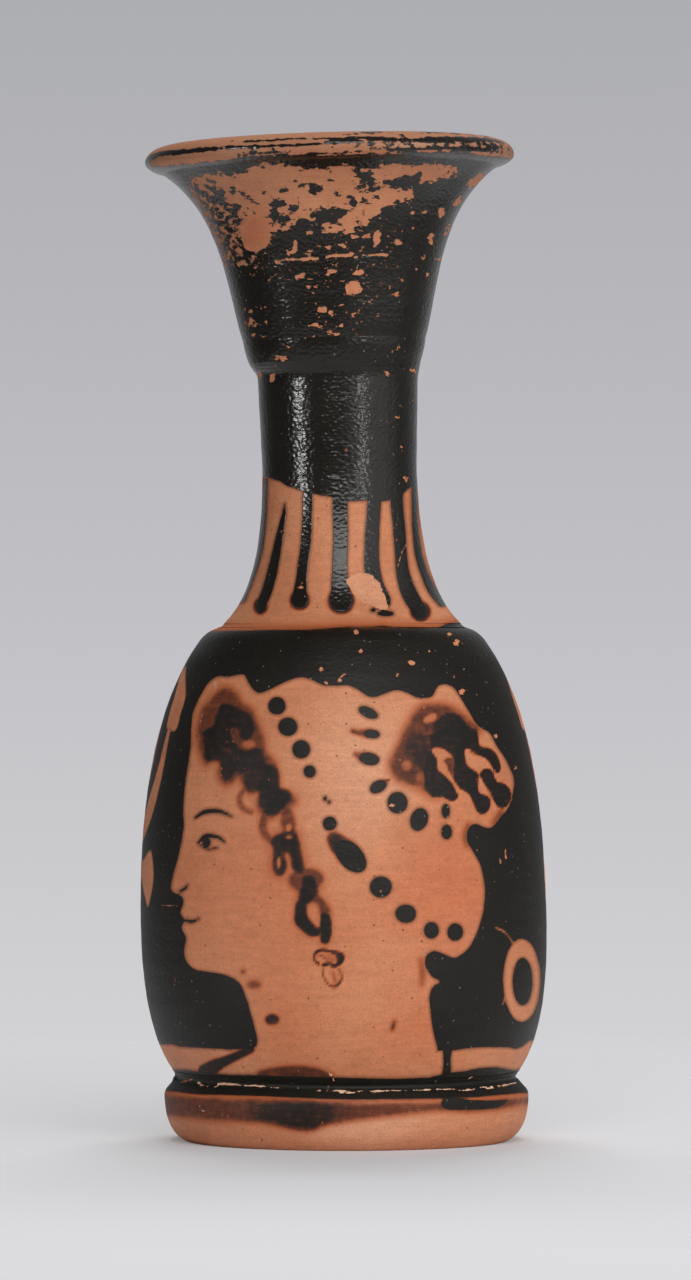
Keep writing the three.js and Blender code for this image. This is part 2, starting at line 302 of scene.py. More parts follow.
def end_tree(tree, shape, clay):
    """Ends a tree as plain geometry in one material."""
    real = add(tree, "GeometryNodeRealizeInstances", {"Geometry": shape})
    covered = add(tree, "GeometryNodeSetMaterial", {"Geometry": real.outputs[0], "Material": clay})
    add(tree, "NodeGroupOutput", {"Piece": covered.outputs[0]})
    print("the tree", tree.name, "has", len(tree.nodes), "nodes")


print("trees can be started and ended")

# %% The wheel tree
SHARP_BEND = math.radians(40)
SEAM_GAP = 1e-6
# The column and the row of the grid that a point is in, and the angle that its column is swung to
COLUMN_STEPS = (
    ("edges", "ADD", "Columns", 1),
    ("place", "DIVIDE", "index", "rows"),
    ("column", "FLOOR", "place"),
    ("first", "MULTIPLY", "column", "rows"),
    ("row", "SUBTRACT", "index", "first"),
    ("share", "DIVIDE", "column", "Columns"),
    ("swing", "MULTIPLY", "share", 2 * math.pi),
    ("sway", "SINE", "swing"),
    ("angle", "MULTIPLY_ADD", "sway", "Crowding", "swing"))
# Where a point of the outline comes to lie at that angle
SWING_STEPS = (
    ("sine", "SINE", "angle"),
    ("cosine", "COSINE", "angle"),
    ("across", "MULTIPLY", "radius", "sine"),
    ("left", "MULTIPLY", "across", -1),
    ("back", "MULTIPLY", "radius", "cosine"))


def wheel_tree():
    """Turns a row of profile points (radius, 0, height) round the upright axis."""
    tree, made = new_tree("potters_wheel", (
        ("Profile", "Geometry"), ("Columns", "Int"), ("Crowding", "Float"), ("Clay", "Material")))
    made["rows"] = add(tree, "GeometryNodeAttributeDomainSize", {0: made["Profile"]}).outputs["Point Count"]
    made["index"] = add(tree, "GeometryNodeInputIndex").outputs[0]
    cook(tree, made, COLUMN_STEPS)
    position = add(tree, "GeometryNodeInputPosition").outputs[0]
    point = add(tree, "GeometryNodeSampleIndex",
                {"Geometry": made["Profile"], "Value": position, "Index": made["row"]},
                data_type="FLOAT_VECTOR").outputs[0]
    parts = add(tree, "ShaderNodeSeparateXYZ", {0: point}).outputs
    made["radius"] = parts["X"]
    cook(tree, made, SWING_STEPS)
    target = add(tree, "ShaderNodeCombineXYZ", {"X": made["left"], "Y": made["back"], "Z": parts["Z"]})
    grid = add(tree, "GeometryNodeMeshGrid",
               {"Vertices X": made["edges"], "Vertices Y": made["rows"]}).outputs
    mapped = add(tree, "GeometryNodeStoreNamedAttribute",
                 {"Geometry": grid["Mesh"], "Name": "OFBake", "Value": grid["UV Map"]},
                 data_type="FLOAT2", domain="CORNER")
    turned = add(tree, "GeometryNodeSetPosition",
                 {"Geometry": mapped.outputs[0], "Position": target.outputs[0]})
    closed = add(tree, "GeometryNodeMergeByDistance", {"Geometry": turned.outputs[0], "Distance": SEAM_GAP})
    bend = add(tree, "GeometryNodeInputMeshEdgeAngle").outputs["Unsigned Angle"]
    gentle = add(tree, "FunctionNodeCompare", {0: bend, 1: SHARP_BEND}, operation="LESS_THAN").outputs[0]
    smooth = add(tree, "GeometryNodeSetShadeSmooth",
                 {"Geometry": closed.outputs[0], "Shade Smooth": gentle}, domain="EDGE")
    end_tree(tree, smooth.outputs[0], made["Clay"])
    return tree


WHEEL = wheel_tree()

# %% Running a mesh through a tree
def store(mesh, name, values):
    """Keeps one number for each point of a mesh."""
    mesh.attributes.new(name, "FLOAT", "POINT").data.foreach_set("value", values.astype(np.float32))


def through_nodes(name, mesh, tree, inputs):
    """Runs a mesh through a node tree and keeps the result as a plain mesh object at the origin."""
    piece = bpy.data.objects.new(name, mesh)
    bpy.context.scene.collection.objects.link(piece)
    modifier = piece.modifiers.new(tree.name, "NODES")
    modifier.node_group = tree
    for item in tree.interface.items_tree:
        if item.name in inputs:
            modifier[item.identifier] = inputs[item.name]
    ready = piece.evaluated_get(bpy.context.evaluated_depsgraph_get())
    piece_mesh = bpy.data.meshes.new_from_object(ready)
    piece.modifiers.remove(modifier)
    piece.data = piece_mesh
    print(name, "has", sum(len(face.vertices) - 2 for face in piece_mesh.polygons), "triangles")
    return piece


print("meshes can be run through a tree")

# %% Throwing the pieces
CROWDING = 0.35
BODY_COLUMNS = 400
MOUTH_COLUMNS = 380
NECK_COLUMNS = 300
vase_clay = bpy.data.materials.new("fired_clay_with_iron_gloss")


def throw(name, outline, columns):
    """Turns an outline in millimetres into a piece of clay."""
    mesh = bpy.data.meshes.new(name + "_outline")
    mesh.from_pydata([(r * MM, 0, z * MM) for r, z in outline], [], [])
    return through_nodes(name, mesh, WHEEL, {"Columns": columns, "Crowding": CROWDING, "Clay": vase_clay})


foot = throw("foot_turned", foot_outline, BODY_COLUMNS)
body = throw("body_turned", body_outline, BODY_COLUMNS)
neck = throw("neck_turned", neck_outline, NECK_COLUMNS)
mouth = throw("mouth_turned", mouth_outline, MOUTH_COLUMNS)
foot_slip = throw("foot_slip_bead", foot_slip_outline, BODY_COLUMNS)
neck_slip = throw("neck_slip_bed", neck_slip_outline, NECK_COLUMNS)
mouth_slip = throw("mouth_slip_bed", mouth_slip_outline, NECK_COLUMNS)

# %% [markdown]
# ## The pulled handle
# The handle is a strap of clay, pulled by hand and pressed on at the neck and the shoulder, where it
# spreads. A strap follows a path, so a second tree sweeps a rounded section along it. The section is a
# superellipse: flatter than an ellipse, with soft edges. The path carries its own spread, which widens
# the two roots.

# %% The strap tree
def strap_tree():
    """Sweeps a rounded flat section along a path whose points carry a spread."""
    tree, made = new_tree("pulled_strap", (
        ("Path", "Geometry"), ("Width", "Float"), ("Thickness", "Float"), ("Squareness", "Float"),
        ("Sides", "Int"), ("Clay", "Material")))
    circle = add(tree, "GeometryNodeCurvePrimitiveCircle", {"Resolution": made["Sides"], "Radius": 1.0})
    position = add(tree, "GeometryNodeInputPosition").outputs[0]
    ways = add(tree, "ShaderNodeSeparateXYZ", {0: position}).outputs
    cook(tree, made, [("power", "DIVIDE", 2, "Squareness")])
    for way, size in (("X", "Width"), ("Y", "Thickness")):
        made["way"] = ways[way]
        cook(tree, made, (
            ("sign", "SIGN", "way"),
            ("length", "ABSOLUTE", "way"),
            ("bent", "POWER", "length", "power"),
            ("half", "MULTIPLY", size, 0.5),
            ("sized", "MULTIPLY", "bent", "half"),
            (way, "MULTIPLY", "sized", "sign")))
    corner = add(tree, "ShaderNodeCombineXYZ", {"X": made["X"], "Y": made["Y"]}).outputs[0]
    section = add(tree, "GeometryNodeSetPosition", {"Geometry": circle.outputs[0], "Position": corner})
    path = add(tree, "GeometryNodeMeshToCurve", {"Mesh": made["Path"]})
    spread = add(tree, "GeometryNodeInputNamedAttribute", {"Name": "spread"}, data_type="FLOAT").outputs[0]
    swept = add(tree, "GeometryNodeCurveToMesh", {
        "Curve": path.outputs[0], "Profile Curve": section.outputs[0], "Scale": spread, "Fill Caps": True})
    smooth = add(tree, "GeometryNodeSetShadeSmooth", {"Geometry": swept.outputs[0]})
    end_tree(tree, smooth.outputs[0], made["Clay"])
    return tree


STRAP = strap_tree()

# %% Pulling the handle
HANDLE_WIDTH = 8.6
HANDLE_THICKNESS = 4.0
HANDLE_SQUARENESS = 2.6
STRAP_SIDES = 72
PATH_STEP = 0.35
ROOT_WIDTH = 11.2
ROOT_LENGTH = 7.0
SPRING = (7.25, 86.0)
CREST = 87.22
BEND = 78.2
REACH_OUT = 19.6
LANDING = (17.28, 55.9)

rising = curve(SPRING, (13.42, CREST), (REACH_OUT, CREST), (REACH_OUT, BEND))
falling = curve((REACH_OUT, BEND), (REACH_OUT, 70.4), (17.98, 63.7), LANDING)
handle_path = spaced(np.concatenate([rising, falling[1:]]), PATH_STEP)
run = PATH_STEP * np.arange(len(handle_path))
near_root = 1 - eased(np.minimum(run, run[-1] - run), 0, ROOT_LENGTH)

path_mesh = bpy.data.meshes.new("handle_path")
spans = [(i, i + 1) for i in range(len(handle_path) - 1)]
path_mesh.from_pydata([(0, r * MM, z * MM) for r, z in handle_path], spans, [])
store(path_mesh, "spread", 1 + (ROOT_WIDTH / HANDLE_WIDTH - 1) * near_root)
handle = through_nodes("handle_pulled", path_mesh, STRAP, {
    "Width": HANDLE_WIDTH * MM, "Thickness": HANDLE_THICKNESS * MM, "Squareness": HANDLE_SQUARENESS,
    "Sides": STRAP_SIDES, "Clay": vase_clay})

# %% [markdown]
# ## Where a point of the skin is
# The soft clay gave way to one side as the potter set each piece on the last: the body sags a little,
# the neck and the mouth tilt, and the mouth sits off centre. The skins settle by the same rule as the
# CAD pieces. To paint, each point of a skin must know where it lies three ways: in the front view, as a
# viewer in front of the vase sees it, round the wall, for the ornament behind, and whether it is outside
# or inside the vase.

# %% The lean and the skin
BODY_SAG = 0.5
BODY_SAG_HEIGHT = 40.0
NECK_TILT = math.radians(1.1)
NECK_WAIST_HEIGHT = 19.2
MOUTH_TILT = math.radians(1.5)
MOUTH_STEP_HEIGHT = 3.9
MOUTH_OFFSET = 0.3
VIEW_DISTANCE = 860.0
VIEW_HEIGHT = 59.94
VIEW_ASIDE = -0.12
WALL_RADIUS = 24.0


def lean(points):
    """Moves each level of the vase to the side and tips it, as the soft clay settled."""
    x, y, z = points.T
    shift = BODY_SAG * eased(z, 0, BODY_SAG_HEIGHT) + MOUTH_OFFSET * eased(z, NECK_SEAT, THROAT_TOP)
    shift += math.tan(NECK_TILT) * (np.clip(z, NECK_BASE, NECK_SEAT) - NECK_BASE)
    shift += math.tan(MOUTH_TILT) * np.clip(z - MOUTH_BASE, 0, None)
    tilt = NECK_TILT * eased(z, NECK_BASE, NECK_BASE + NECK_WAIST_HEIGHT)
    tilt += (MOUTH_TILT - NECK_TILT) * eased(z, NECK_SEAT, MOUTH_BASE + MOUTH_STEP_HEIGHT)
    return np.column_stack([x * np.cos(tilt) - shift, y, z + x * np.sin(tilt)])


class Skin:
    """Where each point of a piece lies: upright, in the front view, and round the wall, in millimetres."""

    def __init__(self, piece):
        count = len(piece.data.vertices)
        flat = np.empty(count * 3, np.float32)
        piece.data.vertices.foreach_get("co", flat)
        self.points = flat.reshape(-1, 3).astype(float) / MM
        piece.data.vertex_normals.foreach_get("vector", flat)
        self.normals = flat.reshape(-1, 3).astype(float)
        self.angle = np.arctan2(self.points[:, 0], -self.points[:, 1])
        self.height = self.points[:, 2]
        tipped = lean(self.points)
        nearer = VIEW_DISTANCE / (VIEW_DISTANCE + tipped[:, 1])
        self.front = tipped[:, 1] < 0
        self.view = np.column_stack([VIEW_ASIDE + (tipped[:, 0] - VIEW_ASIDE) * nearer,
                                     VIEW_HEIGHT + (tipped[:, 2] - VIEW_HEIGHT) * nearer])
        self.wall = np.column_stack([WALL_RADIUS * self.angle, self.height])
        self.outward = self.normals[:, 0] * np.sin(self.angle) - self.normals[:, 1] * np.cos(self.angle)


turned_pieces = [foot, foot_slip, body, neck_slip, neck, mouth_slip, mouth]
skins = {piece.name: Skin(piece) for piece in turned_pieces + [handle]}
print("measured", sum(len(skin.points) for skin in skins.values()), "points of skin")

# %% [markdown]
# ## Drawing with depths
# Each painted shape is stored as a depth: how many millimetres a point lies inside the shape's edge,
# less than zero outside it. Depths join and cut like paper shapes: the larger of two depths is both
# shapes together, and the smaller of one and minus the other cuts the second out of the first. The
# material can then make the edge as crisp or as ragged as the real brush did, at any closeness.

# %% Smooth lines
REACH = 4.0
PARTS = 5
TINY = 1e-12


def flow(points, closed=False, parts=PARTS):
    """A smooth line through given points, each span cut into a few parts."""
    line = np.array(points, float)
    if closed:
        line = np.vstack([line[-1:], line, line[:2]])
    else:
        line = np.vstack([2 * line[0] - line[1], line, 2 * line[-1] - line[-2]])
    a, b, c, d = (line[k:len(line) - 3 + k] for k in range(4))
    t = np.linspace(0, 1, parts, endpoint=False)[:, None, None]
    bend = (2 * a - 5 * b + 4 * c - d) * t ** 2
    twist = (3 * b - a - 3 * c + d) * t ** 3
    spans = b + 0.5 * ((c - a) * t + bend + twist)
    spans = spans.transpose(1, 0, 2).reshape(-1, line.shape[1])
    return spans if closed else np.vstack([spans, line[-2:-1]])


def close_to(spots, line):
    """Which spots lie within reach of a line's box."""
    return np.all((spots > line[:, :2].min(0) - REACH) & (spots < line[:, :2].max(0) + REACH), axis=1)


def beside(x, z, start, end):
    """How far along a short line each spot lies, from 0 to 1, and how far away from it."""
    dx, dz = end[0] - start[0], end[1] - start[1]
    share = np.clip(((x - start[0]) * dx + (z - start[1]) * dz) / max(dx * dx + dz * dz, TINY), 0, 1)
    return share, np.hypot(x - start[0] - share * dx, z - start[1] - share * dz)


print("lines reach", REACH, "mm to either side")

# %% Depths of single shapes
FLATTEST = 1e-6


def loop_depth(spots, points, parts=PARTS):
    """Depth inside a closed outline."""
    line = flow(points, closed=True, parts=parts)
    near = close_to(spots, line)
    x, z = spots[near].T
    gap = np.full(len(x), REACH)
    inside = np.zeros(len(x), bool)
    for start, end in zip(line, np.roll(line, -1, axis=0)):
        gap = np.minimum(gap, beside(x, z, start, end)[1])
        rise = end[1] - start[1]
        if rise:
            crossing = start[0] + (z - start[1]) / rise * (end[0] - start[0])
            inside ^= ((start[1] > z) != (end[1] > z)) & (x < crossing)
    depth = np.full(len(spots), -REACH)
    depth[near] = np.where(inside, gap, -gap)
    return depth


def stroke_depth(spots, points, parts=PARTS):
    """Depth inside a brush stroke, given as points with a half-width each."""
    line = flow(points, parts=parts)
    near = close_to(spots, line)
    x, z = spots[near].T
    best = np.full(len(x), -REACH)
    for start, end in zip(line, line[1:]):
        share, away = beside(x, z, start, end)
        best = np.maximum(best, start[2] + share * (end[2] - start[2]) - away)
    depth = np.full(len(spots), -REACH)
    depth[near] = best
    return depth


def oval_depth(spots, x, z, wide, tall, tilt=0):
    """Depth inside an oval with half-sizes wide and tall, tilted in degrees."""
    turn = math.radians(tilt)
    away = spots - (x, z)
    u = away[:, 0] * math.cos(turn) + away[:, 1] * math.sin(turn)
    v = away[:, 1] * math.cos(turn) - away[:, 0] * math.sin(turn)
    near = np.hypot(u / wide, v / tall)
    steep = np.maximum(np.hypot(u / wide ** 2, v / tall ** 2), FLATTEST)
    return np.clip(near * (1 - near) / steep, -REACH, min(wide, tall))


print("outlines, strokes and ovals can be drawn")

# %% Depths of several shapes, and where they count
EDGE_WAVER = 0.22
EDGE_WAVES = 5
BLUR_OUT = 0.7
BLUR_IN = 0.3


def ovals_depth(spots, rows):
    """Depth inside any of several ovals."""
    return np.max([oval_depth(spots, *row) for row in rows], axis=0)


def strokes_depth(spots, rows):
    """Depth inside any of several brush strokes."""
    return np.max([stroke_depth(spots, row) for row in rows], axis=0)


def in_front(skin, depth):
    """The depth where a spot faces the viewer, and nothing round the back."""
    return np.where(skin.front, depth, -REACH)


def above(skin, points):
    """How far each spot lies above an edge that is drawn across the front and runs on round the back."""
    x, z = np.array(points, float).T
    in_view = skin.view[:, 1] - np.interp(skin.view[:, 0], x, z)
    beyond = np.abs(skin.angle) - math.pi / 2
    left_share = np.where(skin.angle < 0, 1 - beyond / math.pi, beyond / math.pi)
    waver = EDGE_WAVER * np.sin(EDGE_WAVES * skin.angle + z[0]) * np.clip(beyond, 0, 1)
    behind = skin.height - (z[-1] + (z[0] - z[-1]) * left_share) - waver
    return np.where(skin.front, in_view, behind)


def soft(depth, width):
    """From 0 outside to 1 inside an edge that is blurred over a width."""
    return eased(depth, -BLUR_OUT * width, BLUR_IN * width)


print("edges waver by", EDGE_WAVER, "mm round the back")

# %% [markdown]
# ## The head in the front view
# A woman's head in a dotted cap is a stock figure of such flasks. It was left in bare clay: the painter
# drew round it with black, filled the ground, and added the hair, the dots and a few lines. Everything
# is placed in millimetres as seen from the front, with zero at the vase's axis and the table. The face
# itself is a plain design: three equal thirds from the hair to the brow, the brow to the nose and the
# nose to the chin.

# %% The head's outline
CAP_AND_NAPE = (
    (-18.7, 47.6), (-18.6, 50.5), (-18, 52.4), (-16.9, 54.4), (-16, 55.3), (-15.2, 55.6), (-14.2, 55.5),
    (-12.9, 55.8), (-12.2, 55.7), (-11.7, 54.7), (-10.9, 53.75), (-10.1, 53.6), (-8.5, 54.3),
    (-6.8, 55.1), (-5.4, 55.4), (-4.2, 55.15), (-2.8, 54.5), (-1, 54.45), (0.2, 54.45), (1.4, 53.95),
    (2.4, 53.25), (3.3, 53.05), (4.6, 53.5), (6, 53.9), (7.2, 53.6), (8.4, 53.05), (9.4, 52.95),
    (10.3, 53.25), (10.8, 54.2), (11.3, 54.55), (12.2, 54.6), (13.1, 54), (14.2, 52.2), (15.3, 50.3),
    (16, 49.5), (17.2, 48.8), (18, 47.4), (19.2, 45.5), (20.05, 43.6), (20.1, 42.2), (19.6, 40.1),
    (18.6, 38.8), (17.6, 37.6), (16.8, 37.4), (15.3, 37.9), (14.5, 37), (14.5, 35.7), (15.4, 34.2),
    (16.2, 32.5), (16.6, 29.5), (16.2, 26.5), (15, 23.5), (13.6, 22.1), (12.8, 21.8), (11.6, 22.3),
    (10.3, 22.6), (9.5, 21.9), (9.45, 20.8), (10.2, 19.6), (11.2, 18.95), (10.3, 18.3), (9.95, 16.9),
    (10.2, 14), (10.6, 12.2), (10.9, 10.9), (10.8, 9.7), (10, 9))
THROAT = (
    (-10.4, 9), (-11.2, 9.7), (-11.3, 10.7), (-10.8, 11.3), (-10.75, 12.2), (-11.3, 14.5), (-12.2, 17.4),
    (-13, 18.9), (-14.6, 19.75))
CALM_FACE = (
    (-16.6, 20.1), (-18.2, 20.4), (-19.2, 21.3), (-19.55, 22.6), (-19.3, 24.1), (-19.85, 25.4),
    (-19.5, 26.3), (-20, 27.2), (-19.65, 28.3), (-19.8, 29.1), (-20.9, 29.7), (-21.1, 30.7),
    (-20.3, 33.8), (-19.6, 37.2), (-19.65, 39.2), (-19.4, 42.5), (-18.95, 45.5))
FACE_STROKES = (
    ((-18.2, 38.6, 0.12), (-17, 39.3, 0.24), (-15.3, 39.4, 0.22), (-13.8, 38.8, 0.1)),
    ((-17.8, 35.6, 0.12), (-16.9, 36.4, 0.22), (-15.5, 36.3, 0.2), (-14.6, 35.7, 0.1)),
    ((-17.5, 35.3, 0.1), (-16.6, 34.85, 0.15), (-15.5, 35.05, 0.1)),
    ((-19.5, 26.3, 0.14), (-18.6, 26.15, 0.18), (-17.8, 26.45, 0.1)),
    ((-20, 29.75, 0.12), (-19.4, 30.15, 0.16), (-19.1, 30.6, 0.08)))
IRIS = (-16.8, 35.65, 0.5, 0.55)


def head_depth(spots):
    """Depth inside the bare clay of the head and neck."""
    return loop_depth(spots, CAP_AND_NAPE + THROAT + CALM_FACE, parts=4)


print("the head's outline has", len(CAP_AND_NAPE + THROAT + CALM_FACE), "placed points")

# %% Dots of the cap
CAP_DOTS = (
    (-8.3, 52, 1.05, 1.05), (-7, 49.5, 1.15, 1.1), (-5.4, 46.8, 1.07, 1.1), (-4.4, 44.15, 0.72, 0.75),
    (-2, 37.9, 0.85, 0.85), (0.5, 34, 2.3, 1.45, -48), (4.1, 30.3, 1.32, 1.27), (7.1, 27.1, 1.25, 1.1),
    (10.15, 25.1, 0.9, 1), (13, 24.9, 0.95, 1.05), (2.6, 51.2, 1.25, 0.6, -25), (3, 48.65, 1, 0.55, -8),
    (2.7, 45.65, 1.25, 0.75, -10), (3.8, 42.35, 1.1, 0.7, 30), (6.1, 40.4, 1.2, 1.3),
    (8.7, 38.4, 1.05, 1.4, -20), (11.9, 39.4, 0.5, 0.85), (12, 36.9, 0.65, 0.9), (-2.55, 40.9, 0.25, 0.3),
    (-2.1, 40.5, 0.2, 0.25))
print("the cap has", len(CAP_DOTS), "dots")

# %% Hair over the brow
BROW_HAIR = (
    (-15.7, 50.6), (-15.3, 51.5), (-14.9, 52.3), (-14, 52.1), (-13, 51.8), (-12.2, 51.4), (-11.5, 50.8),
    (-11.1, 49.8), (-11.1, 49), (-11.5, 48.2), (-12.2, 47.9), (-12.7, 48.3), (-12.9, 49), (-13.3, 49.5),
    (-13.9, 49.2), (-13.8, 48.3), (-13.4, 47.7), (-12.6, 46.8), (-11.5, 46.7), (-10.7, 46.9),
    (-10.1, 46.5), (-9.9, 45.6), (-9.6, 45), (-8.9, 44.9), (-8.4, 44.4), (-8.2, 43.5), (-8.2, 42.4),
    (-7.9, 42), (-7, 41.7), (-6.6, 40.7), (-7.4, 40.2), (-8, 39.4), (-8.8, 38.9), (-9.5, 39), (-10, 39.6),
    (-10.4, 40.4), (-10.3, 41.3), (-10.5, 41.9), (-11.5, 41.8), (-12, 42.3), (-12.2, 43.2), (-12.2, 43.9),
    (-12.8, 43.9), (-13.4, 44.1), (-13.7, 43.6), (-14.3, 43.1), (-14.9, 43.6), (-15, 44.6), (-15.2, 45.4),
    (-15.9, 45.6), (-16.5, 45.4), (-17, 45.8), (-17, 46.8), (-17.2, 47.8), (-17.2, 48.8), (-16.6, 49.3),
    (-16, 49.8))
BROW_WASH = (
    (-15.6, 53.6), (-14.4, 54.1), (-13.3, 53.5), (-12.6, 52.3), (-11.5, 51.6), (-10.9, 50.4),
    (-10.4, 49.2), (-10, 48), (-9.8, 46.6), (-9, 45.6), (-8.6, 44.9), (-8.3, 43.4), (-8, 42),
    (-6.6, 41.3), (-6.2, 40.4), (-7.8, 39.4), (-9.2, 38.6), (-10.3, 39.3), (-10.6, 40.5), (-10.5, 41.6),
    (-11.7, 41.6), (-12.4, 42.7), (-13, 43.6), (-13.8, 42.9), (-14.6, 42.7), (-15.3, 43.7), (-15.2, 45.2),
    (-16, 45.5), (-16.9, 45.1), (-17.3, 46), (-17.7, 47.5), (-17.9, 49), (-17.6, 50.4), (-17.2, 51.6),
    (-16.6, 52.3))
print("the hair over the brow has", len(BROW_HAIR), "placed points")

# %% Tuft at the back of the cap
TUFT_WASH = (
    (5.4, 44.9), (5.7, 45.9), (6.3, 47), (6.9, 48.5), (7.4, 49.6), (8, 50.6), (8.7, 51.5), (9.6, 52),
    (10.8, 52), (12, 51.9), (12.9, 51.5), (14, 50.7), (15, 49.9), (15.7, 49), (13, 47), (12.8, 44),
    (11, 41.4), (9.4, 42), (8.2, 42.6), (6.9, 43), (6, 43.6))
TUFT_SHADE = (
    (6.9, 46), (7, 47.6), (7.7, 49.3), (9, 50.3), (10.6, 50.2), (11, 47.6), (10.3, 46.4), (9.9, 45.2),
    (9.5, 43.4), (8.6, 44.4), (7.6, 45))
TUFT_TOP = (
    (10.8, 50.2), (11.6, 50.9), (12.6, 51.1), (13.6, 50.8), (14.3, 50), (15, 49.4), (15.6, 49.1),
    (15.8, 48.3), (15.9, 47.4), (16.4, 47), (17.2, 46.9), (17.9, 46.3), (18.3, 45.5), (18.5, 44.6),
    (18.3, 44.1), (17.9, 44.2), (17.5, 44.9), (17, 45.6), (16.4, 46), (15.8, 46.2), (15.2, 46.7),
    (14.4, 47), (14.1, 46.6), (14.2, 45.7), (14.5, 44.8), (15.2, 44.3), (15.7, 43.9), (15.75, 43),
    (15.75, 42), (16.1, 41.4), (16.8, 41.2), (17.2, 40.7), (17.2, 40), (16.9, 39.4), (16.4, 39.1),
    (15.8, 39.3), (15.5, 39.9), (15.2, 40.6), (14.8, 41.4), (14, 42), (13.4, 42.3), (12.9, 43),
    (12.9, 44.6), (12.9, 45.5), (12.7, 46.2), (12.2, 46.6), (11.4, 47), (10.5, 47.1), (10.1, 47.2),
    (10, 48.2), (10.3, 49.4))
TUFT_LOBE = (
    (9.3, 44.5), (9.4, 43.2), (9.5, 42.2), (9.9, 41.5), (10.5, 41.1), (11.2, 41.2), (11.7, 41.1),
    (12.2, 40.8), (12.8, 40.7), (13.3, 41.1), (13.2, 41.8), (12.8, 42.6), (12.2, 43.2), (11.5, 43.8),
    (10.9, 44.3), (10.8, 45), (10.8, 45.7), (10.4, 46.3), (10, 46.8), (9.6, 46))
TUFT_OUTER_LOBE = (
    (16.1, 43.9), (16.5, 44.4), (17.1, 44.5), (17.6, 44), (17.9, 43.2), (18.3, 42.8), (18.9, 42.7),
    (19.5, 42.2), (19.8, 41.4), (19.6, 40.5), (19.1, 39.9), (18.5, 39.8), (18, 40.2), (17.7, 40.9),
    (17.3, 41.7), (16.8, 42.4), (16.4, 43.1))
TUFT_INLET = (
    (10.2, 46.8), (11.3, 46.9), (11.9, 46.6), (12.6, 45.95), (12.1, 45.9), (11.7, 45.6), (11.6, 45.3),
    (11.9, 45), (12.1, 44.4), (12.6, 43.5), (13.2, 42.6), (13.5, 42.2), (13.2, 41.6), (12.9, 42.4),
    (12.4, 43.1), (11.6, 43.9), (11, 44.4), (10.9, 45), (10.9, 45.6))
print("the tuft's dark top has", len(TUFT_TOP), "placed points")

# %% Tress by the cheek
TRESS_KNOT = (
    (-8.9, 35.8), (-8.3, 36.4), (-7.4, 36.7), (-6.7, 37.1), (-6.2, 36.8), (-5.9, 36), (-5.7, 35),
    (-5.5, 34), (-5.3, 33), (-5.2, 32.1), (-5.9, 32), (-6.3, 32.7), (-6.5, 33.6), (-6.8, 34.4),
    (-7.3, 34.6), (-7.6, 34.2), (-7.4, 33.4), (-7.4, 32.5), (-7.9, 31.8), (-8.5, 32.2), (-8.7, 33),
    (-8.6, 34), (-8.6, 34.9))
TRESS_WASH = (
    (-6.9, 31.4), (-6.2, 32.1), (-5.2, 32.4), (-4.1, 32.4), (-3.2, 32), (-2.85, 31.3), (-3.2, 30.5),
    (-3.6, 29.9), (-3.3, 29.2), (-2.7, 28.6), (-2.1, 27.7), (-2, 26.8), (-3, 26.9), (-3.2, 27.8),
    (-3.7, 28.4), (-4.3, 28.5), (-5, 28.4), (-5.8, 28.6), (-5.7, 29.4), (-6, 30), (-6.6, 30.4))
TRESS_CORE = (
    (-5.2, 31.4), (-4.6, 31.7), (-3.9, 31.4), (-3.6, 30.6), (-3.6, 29.9), (-3.8, 29.1), (-4.4, 28.6),
    (-5, 28.3), (-5.6, 28.3), (-5.5, 29.3), (-5.4, 30.4))
TRESS_DROP = (
    (-5.9, 28.4), (-6.1, 27), (-6.1, 26.2), (-5.7, 25.6), (-5.1, 25), (-4.4, 24.5), (-3.7, 24.5),
    (-3.2, 24.7), (-3.1, 25.4), (-3.5, 25.3), (-4, 25.7), (-4.6, 26.4), (-4.9, 27.2), (-5, 28.3))
TRESS_TAIL = (
    (-2.9, 27.2), (-2.2, 26.9), (-1.9, 26), (-1.9, 24.8), (-2.1, 23.9), (-2.5, 23.5), (-3, 23.8),
    (-3.1, 24.6), (-3.1, 25.8), (-3.05, 26.6))

# Outline, width of its soft edge in millimetres, and how dark it is
SOFT_LOOPS = (
    (BROW_WASH, 1.6, 0.6), (BROW_HAIR, 1.0, 0.96), (TUFT_WASH, 2.0, 0.66), (TUFT_SHADE, 2.0, 0.8),
    (TUFT_TOP, 0.35, 1.0), (TUFT_LOBE, 0.35, 1.0), (TUFT_OUTER_LOBE, 0.2, 1.0), (TRESS_KNOT, 1.1, 0.95),
    (TRESS_KNOT, 2.2, 0.5), (TRESS_WASH, 1.1, 0.6), (TRESS_CORE, 1.0, 1.0), (TRESS_CORE, 2.0, 0.6),
    (TRESS_DROP, 0.7, 1.0), (TRESS_DROP, 1.2, 0.5), (TRESS_TAIL, 0.4, 1.0), (TRESS_TAIL, 1.2, 0.5))
print(len(SOFT_LOOPS), "soft outlines of hair")

